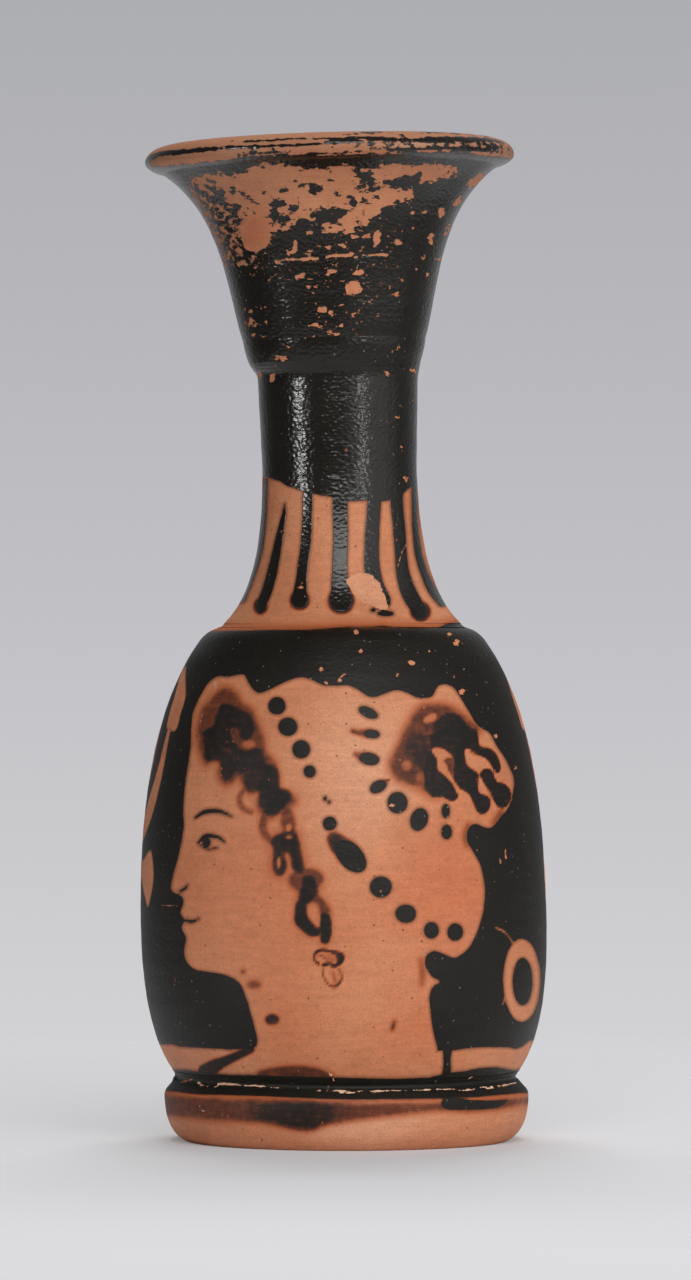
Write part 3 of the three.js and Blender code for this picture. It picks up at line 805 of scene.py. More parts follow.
# %% Brush strokes and other thin marks
# Points with half-widths, then the width of the soft edge and how dark the stroke is
SOFT_STROKES = (
    (((-9.8, 38.8, 0.4), (-10, 37.5, 0.42), (-9.6, 36.4, 0.4), (-8.9, 35.8, 0.4)), 0.9, 0.55),
    (((-7.2, 39.4, 0.6), (-7, 38, 0.8), (-6.9, 37.2, 0.7)), 1.0, 0.56),
    (((-13.5, 48.9, 0.4), (-13.2, 48.3, 0.3)), 1.0, 0.74),
    (((-9.6, 43.6, 0.5), (-9.2, 41.8, 1.0), (-8.3, 40.6, 1.1)), 1.0, 1.0),
    (((-15.3, 50.4, 0.5), (-13.6, 51, 0.4), (-12, 50, 0.4), (-11.8, 49, 0.3)), 1.2, 1.0),
    (((8, 47.6, 0.3), (8.4, 46.6, 0.4)), 0.8, 0.9),
    (((14.9, 46.6, 0.15), (15.6, 46.3, 0.18), (16.2, 46.4, 0.15)), 0.3, 0.45),
    (((15.8, 43.8, 0.15), (16.3, 43.5, 0.15)), 0.3, 0.4),
    (((17.2, 42, 0.2), (17.6, 41, 0.2)), 0.4, 0.45),
    (((17.8, 38, 0.3), (18.6, 39.2, 0.35)), 0.9, 0.5),
    (((-3.3, 21.05, 0.1), (-3.85, 21.6, 0.1), (-3.7, 22.4, 0.12), (-3, 22.75, 0.12), (-2, 22.6, 0.14),
      (-1.2, 22.35, 0.25), (-0.7, 22, 0.4), (-0.75, 21.4, 0.3), (-1.2, 20.95, 0.15), (-2, 21.1, 0.1),
      (-2.7, 20.95, 0.2)), 0.3, 0.85),
    (((-3.6, 22.3, 0.08), (-2.9, 22, 0.1), (-2.4, 21.6, 0.08)), 0.25, 0.6),
    (((-2.3, 21.9, 0.3), (-1.4, 21.6, 0.35)), 0.6, 0.35),
    (((-2.75, 20.5, 0.06), (-2.75, 19.6, 0.07), (-2.3, 18.8, 0.08), (-1.7, 18.35, 0.1),
      (-1.1, 18.5, 0.14), (-0.6, 19.3, 0.1), (-0.75, 20.2, 0.08), (-1.3, 20.65, 0.06),
      (-1.9, 20.6, 0.06)), 0.25, 0.62),
    (((-1.6, 20, 0.15), (-1.3, 18.9, 0.2)), 0.5, 0.4),
    (((0.7, 49, 0.2), (1.6, 48.8, 0.3), (2.6, 48.7, 0.4)), 0.6, 0.6),
    (((1.1, 46.2, 0.2), (1.9, 45.9, 0.45)), 0.6, 0.6),
    (((4.2, 42.8, 0.2), (5, 43.1, 0.15)), 0.4, 0.6),
    (((-1.5, 36.1, 0.7), (-0.9, 35.4, 1.0), (0, 34.6, 1.2)), 0.8, 0.84),
    (((-12.3, 42, 0.25), (-12.8, 41, 0.28), (-12.7, 40.2, 0.28), (-12.2, 39.6, 0.28),
      (-11.4, 39.3, 0.25)), 0.7, 0.5),
    (((8.9, 21.5, 0.3), (9.1, 20, 0.35), (9, 18.7, 0.25)), 0.7, 0.42),
    (((14.7, 37.6, 0.4), (14.3, 36.5, 0.4), (14.5, 35.4, 0.35)), 0.8, 0.45),
    (((-11.5, 10.8, 0.35), (-12.6, 10.3, 0.4), (-14.3, 9.5, 0.45), (-15.8, 8.8, 0.7), (-16.8, 8, 1.0)),
     0.6, 0.92),
    (((-10.2, 7.7, 0.5), (-8, 7.9, 0.75), (-6, 8, 0.8), (-4, 7.9, 0.7), (-2, 7.5, 0.4)), 0.9, 0.64))

# Ovals where the brown thinned out again, and how much of it went; the narrow one on the tress at (-8.1,
# 33.2) is a painted glint
LIFTS_AND_GLINT = (
    (0.45, (-11.7, 47.45, 0.7, 0.35)), (0.2, (-14.2, 46.8, 0.5, 0.3)), (0.12, (-11.2, 43.4, 1, 1.3)),
    (0.62, (10, 50.5, 0.8, 0.4, 28)), (0.25, (8.8, 49.3, 0.6, 0.5, 30)), (0.4, (7.2, 44.9, 0.5, 0.6)),
    (0.25, (10, 48.9, 0.8, 0.3, 15)), (0.25, (8.9, 43.2, 0.5, 0.9)), (0.9, (-6.9, 37.4, 0.13, 0.3)),
    (0.8, (-6.9, 36.3, 0.3, 0.12)), (0.9, (-8.1, 33.2, 0.13, 0.55)))

LIFT_EDGE = 0.5
INLET_EDGE = 0.25
INLET_LIFT = 0.85


def hair_tone(spots):
    """How dark the brushed hair and thin marks are, from 0 to 1."""
    tones = [dark * soft(loop_depth(spots, loop, parts=3), width) for loop, width, dark in SOFT_LOOPS]
    tones += [dark * soft(stroke_depth(spots, stroke), width) for stroke, width, dark in SOFT_STROKES]
    inlet = soft(loop_depth(spots, TUFT_INLET, parts=3), INLET_EDGE)
    tone = np.max(tones, axis=0) * (1 - INLET_LIFT * inlet)
    for amount, oval in LIFTS_AND_GLINT:
        tone = tone * (1 - amount * soft(oval_depth(spots, *oval), LIFT_EDGE))
    return tone


print(len(SOFT_STROKES), "soft strokes and", len(LIFTS_AND_GLINT), "thin places")

# %% Smudges and ring
SMUDGE_BLUR = 0.7
# How dark each smudge is, and its oval
SMUDGES = (
    (0.5, (-11.1, 18.6, 0.8, 0.45)), (0.5, (-12.4, 20.15, 0.25, 0.25)), (0.82, (-8.9, 14.4, 0.75, 0.55)),
    (0.7, (5.6, 13.7, 0.15, 0.5, -15)), (0.85, (-10.3, 64, 0.75, 0.9)), (0.85, (-5.6, 64.7, 1.1, 1.1)),
    (0.85, (-0.65, 64.6, 1.5, 1.5)), (0.85, (8.9, 63.4, 1.15, 1.1)))
RING_OUTER = (21.05, 19.1, 2.25, 5)
RING_INNER = (21.15, 18.95, 1.2, 2.85)
RING_TAILS = (((17.9, 25.4, 0.12), (18.8, 25, 0.16), (19.5, 24.3, 0.12), (20.1, 23.4, 0.16)),
              ((19.1, 17.3, 0.06), (18.9, 16.7, 0.1), (18.7, 16.1, 0.06)))


def ring_depth(spots):
    """Depth inside the bare ring beside the head."""
    band = np.minimum(oval_depth(spots, *RING_OUTER), -oval_depth(spots, *RING_INNER))
    return np.maximum(band, strokes_depth(spots, RING_TAILS))


print("the ring is", 2 * RING_OUTER[3], "mm tall")

# %% [markdown]
# ## Ornament behind
# The photographed side shows only slivers of the ornament behind: a leaf, the edge of a scroll and a bud
# at the left, and the same a little further back at the right. Such flasks carry a palmette under the
# handle between two scrolls, so that is drawn here round the wall, where one unit is a millimetre at the
# belly.

# %% The scrolls
BACK_AT = WALL_RADIUS * math.pi
RIGHT_SET_BACK = 6.5
SIDE_LEAF = (
    (-31, 56), (-28, 54.2), (-26.9, 53), (-26.8, 51), (-26.7, 50.2), (-27, 49.3), (-28, 49.1),
    (-31, 49.5), (-31.8, 51.5), (-32.2, 53.5), (-34, 55), (-36, 56), (-34, 57))
SIDE_BUD = (
    (-30.3, 35), (-29.2, 34), (-28.5, 32.3), (-28.8, 30.7), (-29.6, 29.3), (-30.7, 28.1), (-32.2, 29.2),
    (-34, 30.6), (-36, 32.4), (-35.2, 33.4), (-33, 34))
SIDE_TENDRIL = (
    (-41.5, 37, 0.3), (-39.6, 34, 0.5), (-38.1, 30.5, 0.6), (-37.8, 26, 0.75), (-39, 21.5, 0.9),
    (-42.5, 17.7, 0.75), (-47, 16.4, 0.6), (-50.3, 18, 0.5), (-51, 21, 0.45), (-49, 23, 0.4),
    (-47, 21.8, 0.4), (-47.6, 20.3, 0.5))
BUD_STALK = ((-35.4, 32, 0.6), (-38, 30.2, 0.4))
SCROLL_CENTRE = (-40, 45.5)
SCROLL_TURNS = np.radians(np.arange(18, -620, -14))
SCROLL_RADIUS = 11
SCROLL_CLOSING = 9.6
SCROLL_LINE = 0.35
SCROLL_SWELL = 1.25
SCROLL_EASE = 0.8
SCROLL_TAPER = 6
SWELL_AT = 0.09
SWELL_LENGTH = 0.08


def scroll_line():
    """A volute that starts as a thin tip, swells, and winds in to its eye."""
    wound = (SCROLL_TURNS[0] - SCROLL_TURNS) / (SCROLL_TURNS[0] - SCROLL_TURNS[-1])
    radius = SCROLL_RADIUS - SCROLL_CLOSING * wound ** SCROLL_EASE
    swell = SCROLL_SWELL * np.exp(-((wound - SWELL_AT) / SWELL_LENGTH) ** 2)
    half_width = SCROLL_LINE + swell + SCROLL_LINE * np.clip(wound * SCROLL_TAPER, 0, 1)
    return np.column_stack([SCROLL_CENTRE[0] + radius * np.cos(SCROLL_TURNS),
                            SCROLL_CENTRE[1] + radius * np.sin(SCROLL_TURNS), half_width])


def side_ornament_depth(spots, mirror, set_back):
    """Depth inside one side ornament: a volute with a leaf above it and a bud and a tendril below."""
    local = spots * (mirror, 1) + (set_back, 0)
    shapes = [stroke_depth(local, scroll_line(), parts=2), strokes_depth(local, (SIDE_TENDRIL, BUD_STALK))]
    shapes += [loop_depth(local, leaf) for leaf in (SIDE_LEAF, SIDE_BUD)]
    return np.max(shapes, axis=0)


print("each scroll winds in from", SCROLL_RADIUS, "mm")

# %% The palmette
HEART = (0, 25.5, 2.4, 1.9)
FAN_HEIGHT = 26
LEAF_TURNS = np.radians(np.arange(-88, 89, 22))
LEAF_LENGTH = 17
LEAF_SHORTENING = 5
LEAF_EASE = 1.2
# Share of a leaf's length, and its half-width there
LEAF_SHAPE = ((0.26, 0.35), (0.55, 0.8), (0.85, 1.35), (1, 1.3))
CURL_CENTRE = (6.2, 18.5)
CURL_TURNS = np.linspace(0.4, 7.2, 18)
CURL_RADII = np.linspace(4.6, 1, 18)
CURL_LINE = 0.55


def palmette_depth(spots):
    """Depth inside the palmette under the handle: a fan of leaves over a heart, on two small scrolls."""
    across = np.where(spots[:, 0] > 0, spots[:, 0] - BACK_AT, spots[:, 0] + BACK_AT)
    local = np.column_stack([across, spots[:, 1]])
    shapes = [oval_depth(local, *HEART)]
    for turn in LEAF_TURNS:
        length = LEAF_LENGTH - LEAF_SHORTENING * abs(turn) ** LEAF_EASE
        leaf = [(share * length * math.sin(turn), FAN_HEIGHT + share * length * math.cos(turn), half_width)
                for share, half_width in LEAF_SHAPE]
        shapes.append(stroke_depth(local, leaf))
    for side in (-1, 1):
        curl = [(side * (CURL_CENTRE[0] + r * math.sin(t)), CURL_CENTRE[1] - r * math.cos(t), CURL_LINE)
                for t, r in zip(CURL_TURNS, CURL_RADII)]
        shapes.append(stroke_depth(local, curl, parts=2))
    return np.max(shapes, axis=0)


print("the palmette is centred", round(BACK_AT, 1), "mm round the wall")

# %% [markdown]
# ## Tongues on the neck
# Long tongues of gloss hang from the black neck down to the shoulder. Those in front are placed one by
# one. The rest run on round the back at an even angle, as the painter would space them by eye.

# %% The neck's tongues
NECK_EDGE = (
    (-10, 79.5), (-9, 79.3), (-8, 79), (-7, 78.4), (-6, 78.1), (-5.1, 77.8), (-3.9, 77.5), (-3, 77.3),
    (-1.8, 77.1), (0.3, 76.6), (1.5, 76.65), (2.6, 76.7), (4.3, 76.6), (5.2, 76.7), (6.9, 77.5),
    (7.4, 78), (7.95, 78.3))
TONGUES = (
    ((-9.7, 79, 0.25), (-10.1, 73, 0.3), (-11, 69, 0.4), (-12.6, 65, 0.5)),
    ((-7.35, 76.3, 0.05), (-7.5, 75, 0.25), (-7.9, 73, 0.4), (-8.3, 71, 0.5), (-8.8, 68.5, 0.6),
     (-9.5, 66, 0.65), (-10.3, 64, 0.6)),
    ((-4.5, 79, 0.6), (-4.6, 77.4, 0.55), (-4.8, 72, 0.6), (-5.2, 69, 0.6), (-5.4, 67, 0.65),
     (-5.6, 64.7, 0.95)),
    ((-0.8, 78, 1), (-0.75, 76, 0.9), (-0.7, 72, 0.88), (-0.8, 68, 0.9), (-0.65, 64.7, 1.3)),
    ((3.4, 78, 0.9), (3.3, 76, 0.82), (3.1, 73, 0.85), (3, 70, 0.9), (3.3, 67, 1), (4.2, 64.6, 1.1)),
    ((6, 78, 0.9), (6.1, 76.4, 0.78), (6.4, 73, 0.75), (6.6, 70, 0.76), (6.9, 67.5, 0.85),
     (7.6, 65.5, 0.95), (8.8, 63.5, 0.92)),
    ((8.2, 79, 0.3), (8.3, 74, 0.36), (8.6, 71, 0.42), (9.2, 68.5, 0.45), (10.3, 66, 0.5),
     (11.5, 64.5, 0.5)))
SPALL_REMAINS = ((4.7, 63.1, 1, 0.35), (3.2, 63.5, 0.35, 0.22))
BACK_TONGUES = np.radians((100, 124, 148, 212, 236, 260))
BACK_TONGUE = ((80, 0.8), (72, 0.75), (67, 0.85), (64.8, 0.95))
NECK_RADIUS = 10.5
SPALL = ((0, 66.9), (0.5, 67.5), (1.5, 67.9), (2.3, 68), (3, 67.7), (3.7, 67.1), (4.2, 66.3), (4.6, 65.3),
         (4.9, 63.6), (3.5, 63.8), (2, 64.6), (1, 65.3))


def tongues_depth(skin):
    """Depth inside the tongues, in front and behind."""
    front = np.maximum(strokes_depth(skin.view, TONGUES), ovals_depth(skin.view, SPALL_REMAINS))
    unrolled = np.column_stack([NECK_RADIUS * (skin.angle % (2 * math.pi)), skin.height])
    behind = [[(NECK_RADIUS * turn, height, half_width) for height, half_width in BACK_TONGUE]
              for turn in BACK_TONGUES]
    return np.maximum(in_front(skin, front), strokes_depth(unrolled, behind))


print(len(TONGUES) + len(BACK_TONGUES), "tongues")

# %% [markdown]
# ## Edges of the black ground
# Bands of gloss end in edges that waver as the vase turned under the brush: on the shoulder, above the
# foot, at the joint and on the foot's side, where a thinner wash ran over the bare clay.

# %% The bands
SHOULDER_EDGE = (
    (-15, 61.1), (-5, 61.1), (-2, 61.3), (0, 61.5), (3, 61.5), (4.5, 61.65), (6, 61.5), (11, 61.5),
    (12, 61.9), (13, 62.1), (14.5, 61.9))
GROUND_EDGE = (
    (-22, 11.4), (-21, 11.4), (-20, 11.1), (-16, 10.9), (-14.2, 10.8), (12.7, 10.7), (14, 10.9),
    (16, 11.1), (19.2, 11.1), (20.2, 10.9), (21, 11.1), (22, 11.9))
JOINT_TOP = (
    (-20, 8.3), (-17, 8), (-14, 7.7), (-10, 7.7), (-2, 7.5), (2, 7.4), (6, 7.3), (10, 7.5), (12, 8),
    (14, 8.2), (16, 8.6), (18, 8.7), (20, 8.3))
BEVEL_LOW = (
    (-21.5, 5.9), (-18, 5.5), (-12, 5.3), (-8, 5.1), (-4, 4.9), (0, 4.75), (6, 4.8), (12, 4.9), (16, 5.1),
    (21, 5.6))
WASH_TOP = ((-21.7, 5.3), (-18, 4.9), (-12, 4.7), (-8, 4.45), (0, 4.25), (8, 4.2), (12, 4.3), (21.7, 4.9))
WASH_LOW = (
    (-21.3, 3), (-16, 2.4), (-10, 2.2), (-7, 1.6), (-5, 1.3), (-4, 1.4), (-2, 2.1), (2, 2.6), (6, 3.1),
    (10, 3.6), (12, 3.7), (14.5, 3.5), (18, 3.8), (21.3, 4.4))
DRIP = ((12.1, 11.2, 0.6), (12.05, 9.6, 0.42), (12, 8, 0.55))
FOOT_PATCH = (
    (11.3, 4.2), (11.8, 3.7), (13, 3.55), (16, 3.6), (18, 3.75), (18.9, 4.2), (19.3, 4.75), (17.5, 4.7),
    (15, 4.75), (13.2, 4.95), (11.7, 4.9))


def ground_depth(skin):
    """Depth inside the black ground, before the figure is cut out of it."""
    ground = np.minimum(-above(skin, SHOULDER_EDGE), above(skin, GROUND_EDGE))
    joint = np.minimum(-above(skin, JOINT_TOP), above(skin, BEVEL_LOW))
    neck_gloss = np.maximum(above(skin, NECK_EDGE), tongues_depth(skin))
    marks = np.maximum(stroke_depth(skin.view, DRIP), loop_depth(skin.view, FOOT_PATCH))
    return np.max([ground, joint, neck_gloss, in_front(skin, marks)], axis=0)


print("six edges drawn")

# %% [markdown]
# ## Wear of the mouth
# Hands have rubbed the gloss off the lip and flaked it from the calyx below. Wear is a depth as well,
# and the material breaks it up: where it is well above zero all the gloss is gone, near zero it comes
# off in spots.

# %% Flakes of the mouth
BIG_FLAKE = (
    (-18.6, 115.2), (-17.5, 115.9), (-15.5, 116), (-14, 115.6), (-12.2, 116), (-11.5, 116.8), (-9, 116.9),
    (-7.2, 117), (-5.5, 116.5), (-3, 116.6), (-0.5, 116.8), (0.6, 116.7), (0.7, 115.9), (1.6, 115.4),
    (2.3, 115.1), (1.5, 114.8), (1, 114.3), (2.2, 113.8), (3.2, 113.8), (3.9, 113.9), (5, 114.6),
    (6, 114.1), (7.6, 114), (7.9, 113.4), (7.5, 112.4), (6.5, 112.6), (5.5, 112.2), (4.6, 111.9),
    (4, 111), (3.3, 110.6), (2.9, 110), (1.8, 109.3), (0.5, 109.1), (-1, 108.9), (-2.6, 108.8),
    (-3.2, 109.3), (-2.5, 109.7), (-1.5, 110), (-0.5, 110.9), (0.1, 111.3), (-0.3, 111.6), (-1.8, 111.7),
    (-3, 111.8), (-3.4, 111), (-4.2, 110), (-5.3, 110.7), (-6.2, 109.8), (-7.2, 110.6), (-8.2, 111.4),
    (-8.6, 112.1), (-9.3, 111.5), (-8.9, 110.6), (-8.2, 109.9), (-6.8, 109.7), (-6.7, 109.1),
    (-7.7, 108.8), (-8.9, 108.9), (-9.4, 107.7), (-10.3, 106.9), (-11.5, 106.5), (-12.1, 107.2),
    (-12.6, 108.2), (-13.3, 109), (-12.8, 110.3), (-13.2, 111.3), (-12.6, 111.9), (-13.8, 112.1),
    (-14.8, 112.5), (-15.5, 113.2), (-14.7, 114), (-16, 114.2), (-17, 114.4), (-18, 114.8))
RIGHT_FLAKE = (
    (3, 115.9), (3.6, 116.7), (6, 116.9), (9, 116.9), (12.4, 116.8), (13.1, 116.2), (12.8, 115.6),
    (11, 115.2), (9.2, 115), (8.9, 116), (8, 115.7), (7, 115.3), (5.5, 115.1), (4.6, 114.8), (3.8, 114.5),
    (3.5, 115.2))
FLAKE_ISLANDS = (
    (-3.8, 114.1, 0.9, 0.65), (-4.1, 110.9, 0.35, 0.5), (-9.9, 113.6, 0.35, 0.25), (-6, 115, 0.3, 0.2),
    (-7.5, 113.9, 0.5, 0.2), (-5.2, 114.4, 0.4, 0.15), (0.9, 112.4, 0.4, 0.6), (0.2, 113, 0.3, 0.2),
    (-1.5, 113.5, 0.5, 0.12), (-8.2, 112.3, 0.9, 0.5), (-6.3, 111.8, 0.5, 0.6), (-5.8, 112.7, 0.3, 0.3),
    (-13.6, 113.9, 0.7, 0.3, -30), (-12.2, 113.2, 0.5, 0.25, -30), (-15.2, 113.6, 0.9, 0.4, -30),
    (2, 112.6, 0.5, 0.2), (-11, 112.6, 0.5, 0.2, -30), (3.3, 113.2, 0.5, 0.15), (-2, 115.2, 0.25, 0.12),
    (-16.2, 115.1, 0.5, 0.2, -20))
STREAKED = (
    (-18.4, 115.3), (-14, 115.2), (-10, 113), (-9, 111), (-12, 109.5), (-12.5, 106.6), (-10, 105.4),
    (-14.4, 105), (-16, 108), (-17.4, 111.5))
SPECKLED = (
    (-1.5, 103.8, 8, 3.6), (-0.8, 98.5, 4.5, 3), (-11.5, 98.5, 2, 3), (3, 108.3, 5, 2),
    (-11.8, 105.2, 3, 1.5))
ROUND_PATCH = (-10.9, 108.8, 1.85, 2.25)
print("the large flake has", len(BIG_FLAKE), "placed points and", len(FLAKE_ISLANDS), "islands")

# %% Chips, cuts and cracks
CHIPS = (
    (2.2, 116.3, 0.55, 0.28), (15.5, 115.1, 1.2, 0.4, 42), (13.4, 112.6, 0.7, 0.25, 60),
    (12, 109, 0.7, 0.14, 70), (11.4, 111.2, 0.4, 0.7), (9.5, 111.2, 0.35, 0.22), (8, 111.2, 0.2, 0.15),
    (10.2, 108, 0.3, 0.65), (9.4, 105.9, 0.15, 0.3), (11.1, 105.6, 0.15, 0.4, 75),
    (8.4, 104.6, 0.35, 0.25), (9.7, 103.6, 0.12, 0.3), (6.2, 101.3, 0.32, 0.32), (5.8, 102.7, 0.12, 0.2),
    (6.8, 103.1, 0.12, 0.15), (0.9, 102.2, 1, 0.95), (1.5, 104.1, 0.7, 0.3),
    (-6.2, 107.1, 0.35, 0.8, -15), (-7, 106.4, 0.3, 0.2), (3.7, 108.1, 0.5, 0.85),
    (2.4, 108.4, 0.45, 0.25), (0.9, 108.3, 0.5, 0.2), (-0.6, 107.3, 0.5, 0.2), (-2.2, 107, 0.3, 0.25),
    (4.2, 109.7, 0.3, 0.2), (-4.4, 108.7, 0.3, 0.15), (6.2, 107.7, 0.3, 0.5, 30),
    (-1.8, 104.1, 0.7, 0.3, 15), (-5.6, 103.6, 0.7, 0.28, 10), (-6.7, 103.2, 0.3, 0.15),
    (-4.6, 102.3, 0.3, 0.25), (-7.9, 105.5, 0.9, 0.14), (-3, 99.5, 0.6, 0.35), (-1.8, 99.3, 0.35, 0.25),
    (-3.3, 97.8, 0.65, 0.14), (-2, 96.8, 0.3, 0.2), (-1.3, 96.6, 0.3, 0.14), (0.8, 99, 0.3, 0.22),
    (1.3, 97.9, 0.3, 0.15), (0.8, 97.1, 0.15, 0.12), (-0.6, 97.7, 0.2, 0.15), (-11.4, 98.2, 0.35, 0.3),
    (-11.2, 97.6, 0.5, 0.15), (-10.8, 96.6, 0.5, 0.12), (-9.6, 98.1, 0.12, 0.25), (-11.6, 99.3, 0.3, 0.1),
    (-7.1, 95.1, 0.3, 0.1), (-8, 93.75, 1, 0.3), (5.6, 94.4, 0.35, 0.2, 50), (6.2, 94.9, 0.14, 0.2),
    (5, 91.8, 0.3, 0.18), (8, 92.2, 0.4, 0.1, -20), (-10.4, 91.7, 0.22, 0.5), (-8.9, 91.4, 0.25, 0.45),
    (6.2, 86.6, 0.22, 0.15), (6.5, 88, 0.12, 0.12), (6.7, 83, 0.2, 0.22), (7.3, 79.2, 0.25, 0.3),
    (-3, 56.5, 0.3, 0.3), (-2.5, 54.8, 0.15, 0.12), (-0.3, 55.8, 0.4, 0.1, 45), (-0.9, 55, 0.3, 0.1, 45),
    (1.1, 60.75, 0.22, 0.22), (1.75, 58.6, 0.2, 0.22), (7.75, 57.25, 0.4, 0.25, -20),
    (6.1, 55.6, 0.2, 0.2), (9.95, 58.75, 0.12, 0.12), (13.4, 59.8, 0.55, 0.3), (12.3, 60.7, 0.25, 0.18),
    (13.9, 53.8, 0.4, 0.35), (13, 55.55, 0.18, 0.14, -40), (18.05, 48.4, 0.2, 0.28),
    (16.8, 54.9, 0.1, 0.15), (14.2, 56.7, 0.12, 0.12), (20.3, 44.5, 0.1, 0.15), (15.7, 34.6, 0.12, 0.2),
    (-5.4, 66.3, 0.25, 0.3), (-7.4, 73, 0.5, 0.12, 10), (5.45, 40.2, 0.28, 0.3), (12, 37.95, 0.6, 0.12))
CUT_LINES = (
    ((-8.5, 105.3, 0.1), (-6.5, 105.5, 0.12), (-3.4, 105.8, 0.1)),
    ((-2.5, 105.9, 0.12), (0.6, 106.2, 0.12)),
    ((1, 105.9, 0.14), (3, 106.1, 0.12), (5, 106.1, 0.1)),
    ((7.2, 71.3, 0.05), (6.7, 70.4, 0.05), (6, 68, 0.03)),
    ((-22.9, 30.75, 0.05), (-21.2, 30.7, 0.05)),
    ((-22.3, 28.15, 0.05), (-20.4, 28, 0.05)),
    ((-20, 6.9, 0.06), (-18.6, 7.2, 0.05)),
    ((19.1, 34.8, 0.06), (19.2, 33.7, 0.08)),
    ((18.4, 34.2, 0.06), (18.5, 33.2, 0.08)))
CRACKS = (
    ((-17.9, 6.9, 0.12), (-17.2, 6.45, 0.12), (-15.7, 6.4, 0.1), (-15.2, 6.7, 0.1), (-12, 6.5, 0.1),
     (-10, 6.4, 0.13), (-8.6, 6.2, 0.1), (-7, 6.15, 0.07), (-5, 6, 0.07), (-3, 5.9, 0.13),
     (-1, 5.85, 0.12), (0.5, 5.8, 0.08)),
    ((-0.9, 5.6, 0.06), (0, 5.5, 0.1), (2, 5.75, 0.08), (5, 5.85, 0.08), (9, 5.9, 0.09),
     (12, 6.05, 0.11), (14, 5.9, 0.1), (16, 6.15, 0.14), (18, 6.3, 0.15), (20.3, 6.8, 0.14)),
    ((2.9, 5.5, 0.05), (5, 5.5, 0.06)),
    ((-2.05, 8, 0.1), (-1.8, 7.7, 0.14), (-1.5, 7.1, 0.06)),
    ((14.6, 7.3, 0.1), (15.2, 7.6, 0.08)),
    ((-17.9, 4.2, 0.06), (-17.5, 3.6, 0.1), (-17, 3.3, 0.06)),
    ((-15.9, 55, 0.02), (-15.7, 54.2, 0.04), (-16.2, 53.2, 0.03), (-16.6, 52.6, 0.02)),
    ((-17.3, 51, 0.02), (-17.6, 50, 0.03), (-17.8, 49, 0.03), (-17.6, 47.5, 0.02)))
print(len(CHIPS), "chips,", len(CUT_LINES), "cuts and", len(CRACKS), "cracks placed")

# %% The lip and the sides
LIP_EDGE = (
    (-24, 116.8), (-22, 116.75), (-20, 117), (-17, 117.3), (-15, 117.6), (-12, 118), (-8, 118.1),
    (-5, 118.2), (-2, 118.1), (0, 118.1), (5, 118.3), (8, 118.5), (12, 118.4), (15, 118.2), (17, 117.9),
    (20.2, 117.5))
LIP_LINES = (
    ((-23.9, 116.9, 0.3), (-23.6, 117.6, 0.35), (-22.6, 118.2, 0.3), (-20, 118.5, 0.27),
     (-17, 118.75, 0.22), (-13, 119.05, 0.19), (-9, 119.2, 0.16), (-6, 119.4, 0.16), (-4, 119.45, 0.13),
     (-2.4, 119.6, 0.2), (-1, 119.8, 0.28), (0.5, 119.9, 0.25), (2, 119.75, 0.15)),
    ((-12.5, 119.75, 0.06), (-9, 119.9, 0.1), (-7, 120.05, 0.1), (-4, 120.1, 0.09), (-1.5, 120.1, 0.14),
     (1, 120.25, 0.2), (3, 120.2, 0.2), (5, 120.05, 0.28), (8, 119.95, 0.26), (10, 120, 0.4),
     (13, 120.05, 0.38), (16, 120, 0.32), (17.8, 119.85, 0.22), (19, 119.5, 0.12)),
    ((5, 118.75, 0.18), (8, 118.8, 0.18), (10.5, 118.85, 0.2), (12, 118.95, 0.2), (14, 118.85, 0.35),
     (16, 118.8, 0.3), (17.5, 118.8, 0.15)),
    ((-11, 118.5, 0.07), (-9, 118.45, 0.1), (-7, 118.6, 0.06)),
    ((0.5, 118.4, 0.06), (2, 118.6, 0.08), (4, 118.75, 0.06)),
    ((-4.8, 118.25, 0.1), (-2.5, 118.3, 0.1), (0, 118.4, 0.08)),
    ((1, 120.8, 0.06), (2.5, 120.85, 0.1), (4.2, 120.95, 0.08)),
    ((9, 120.95, 0.05), (15, 120.8, 0.07), (17, 120.4, 0.06)))
# Ovals of the lip where the gloss is left in crumbs, and how much of it
LIP_CRUMBS = (
    (0.56, (14.5, 119.1, 4, 0.7)), (0.35, (-9, 118.5, 3.6, 0.4)), (0.45, (1, 119.7, 2.5, 0.5)),
    (0.48, (7, 119.4, 4, 0.7)), (0.3, (18.5, 118.6, 2, 1)), (0.2, (6, 120.6, 12, 0.4)))
# Ovals of wear on the mouth's sides and back, round the wall
BACK_FLAKES = (
    (48, 113, 4, 1.6, 10), (43, 108.5, 2, 1), (55, 104, 1.2, 0.6), (66, 115, 6, 0.9),
    (-50, 114.2, 5, 1.2, -8), (-46, 109, 2.5, 1.4), (-58, 106, 1.5, 0.8), (-68, 112, 3, 1),
    (74, 108, 1.5, 1), (-44, 101, 1, 0.6))
print(len(LIP_LINES), "lines of gloss left on the lip")

# %% All the wear together
# How steeply each mark bites, so that a thin one still clears the gloss
SPECKLED_BITE = 0.4
STREAKED_BITE = 0.5
BACK_BITE = 0.7
ISLAND_BITE = 1.6
CHIP_BITE = 2.3
LIP_BITE = 2.5
PATCH_BITE = 3
LINE_BITE = 4
SPALL_BITE = 4
CRACK_BITE = 6
CUT_BITE = 8
CRACK_THINNING = 0.035
# How worn each zone is: bare above zero, spotted below it
LOW_FLAKE_WEAR = 0.22
FLAKE_WEAR_RISE = 0.6
FLAKE_RISE_HEIGHTS = (110, 115)
STREAKED_WEAR = -0.1
SPECKLED_WEAR = -0.45
LIP_WEAR = 0.6
EVEN_WEAR = -0.8
EVEN_WEAR_FALL = 0.02
EVEN_WEAR_DROP = 40
CRUMB_BLUR = 0.8


def cracks_depth(spots):
    """Depth inside the fine cracks and scratches, which show pale clay."""
    return strokes_depth(spots, CRACKS) - CRACK_THINNING


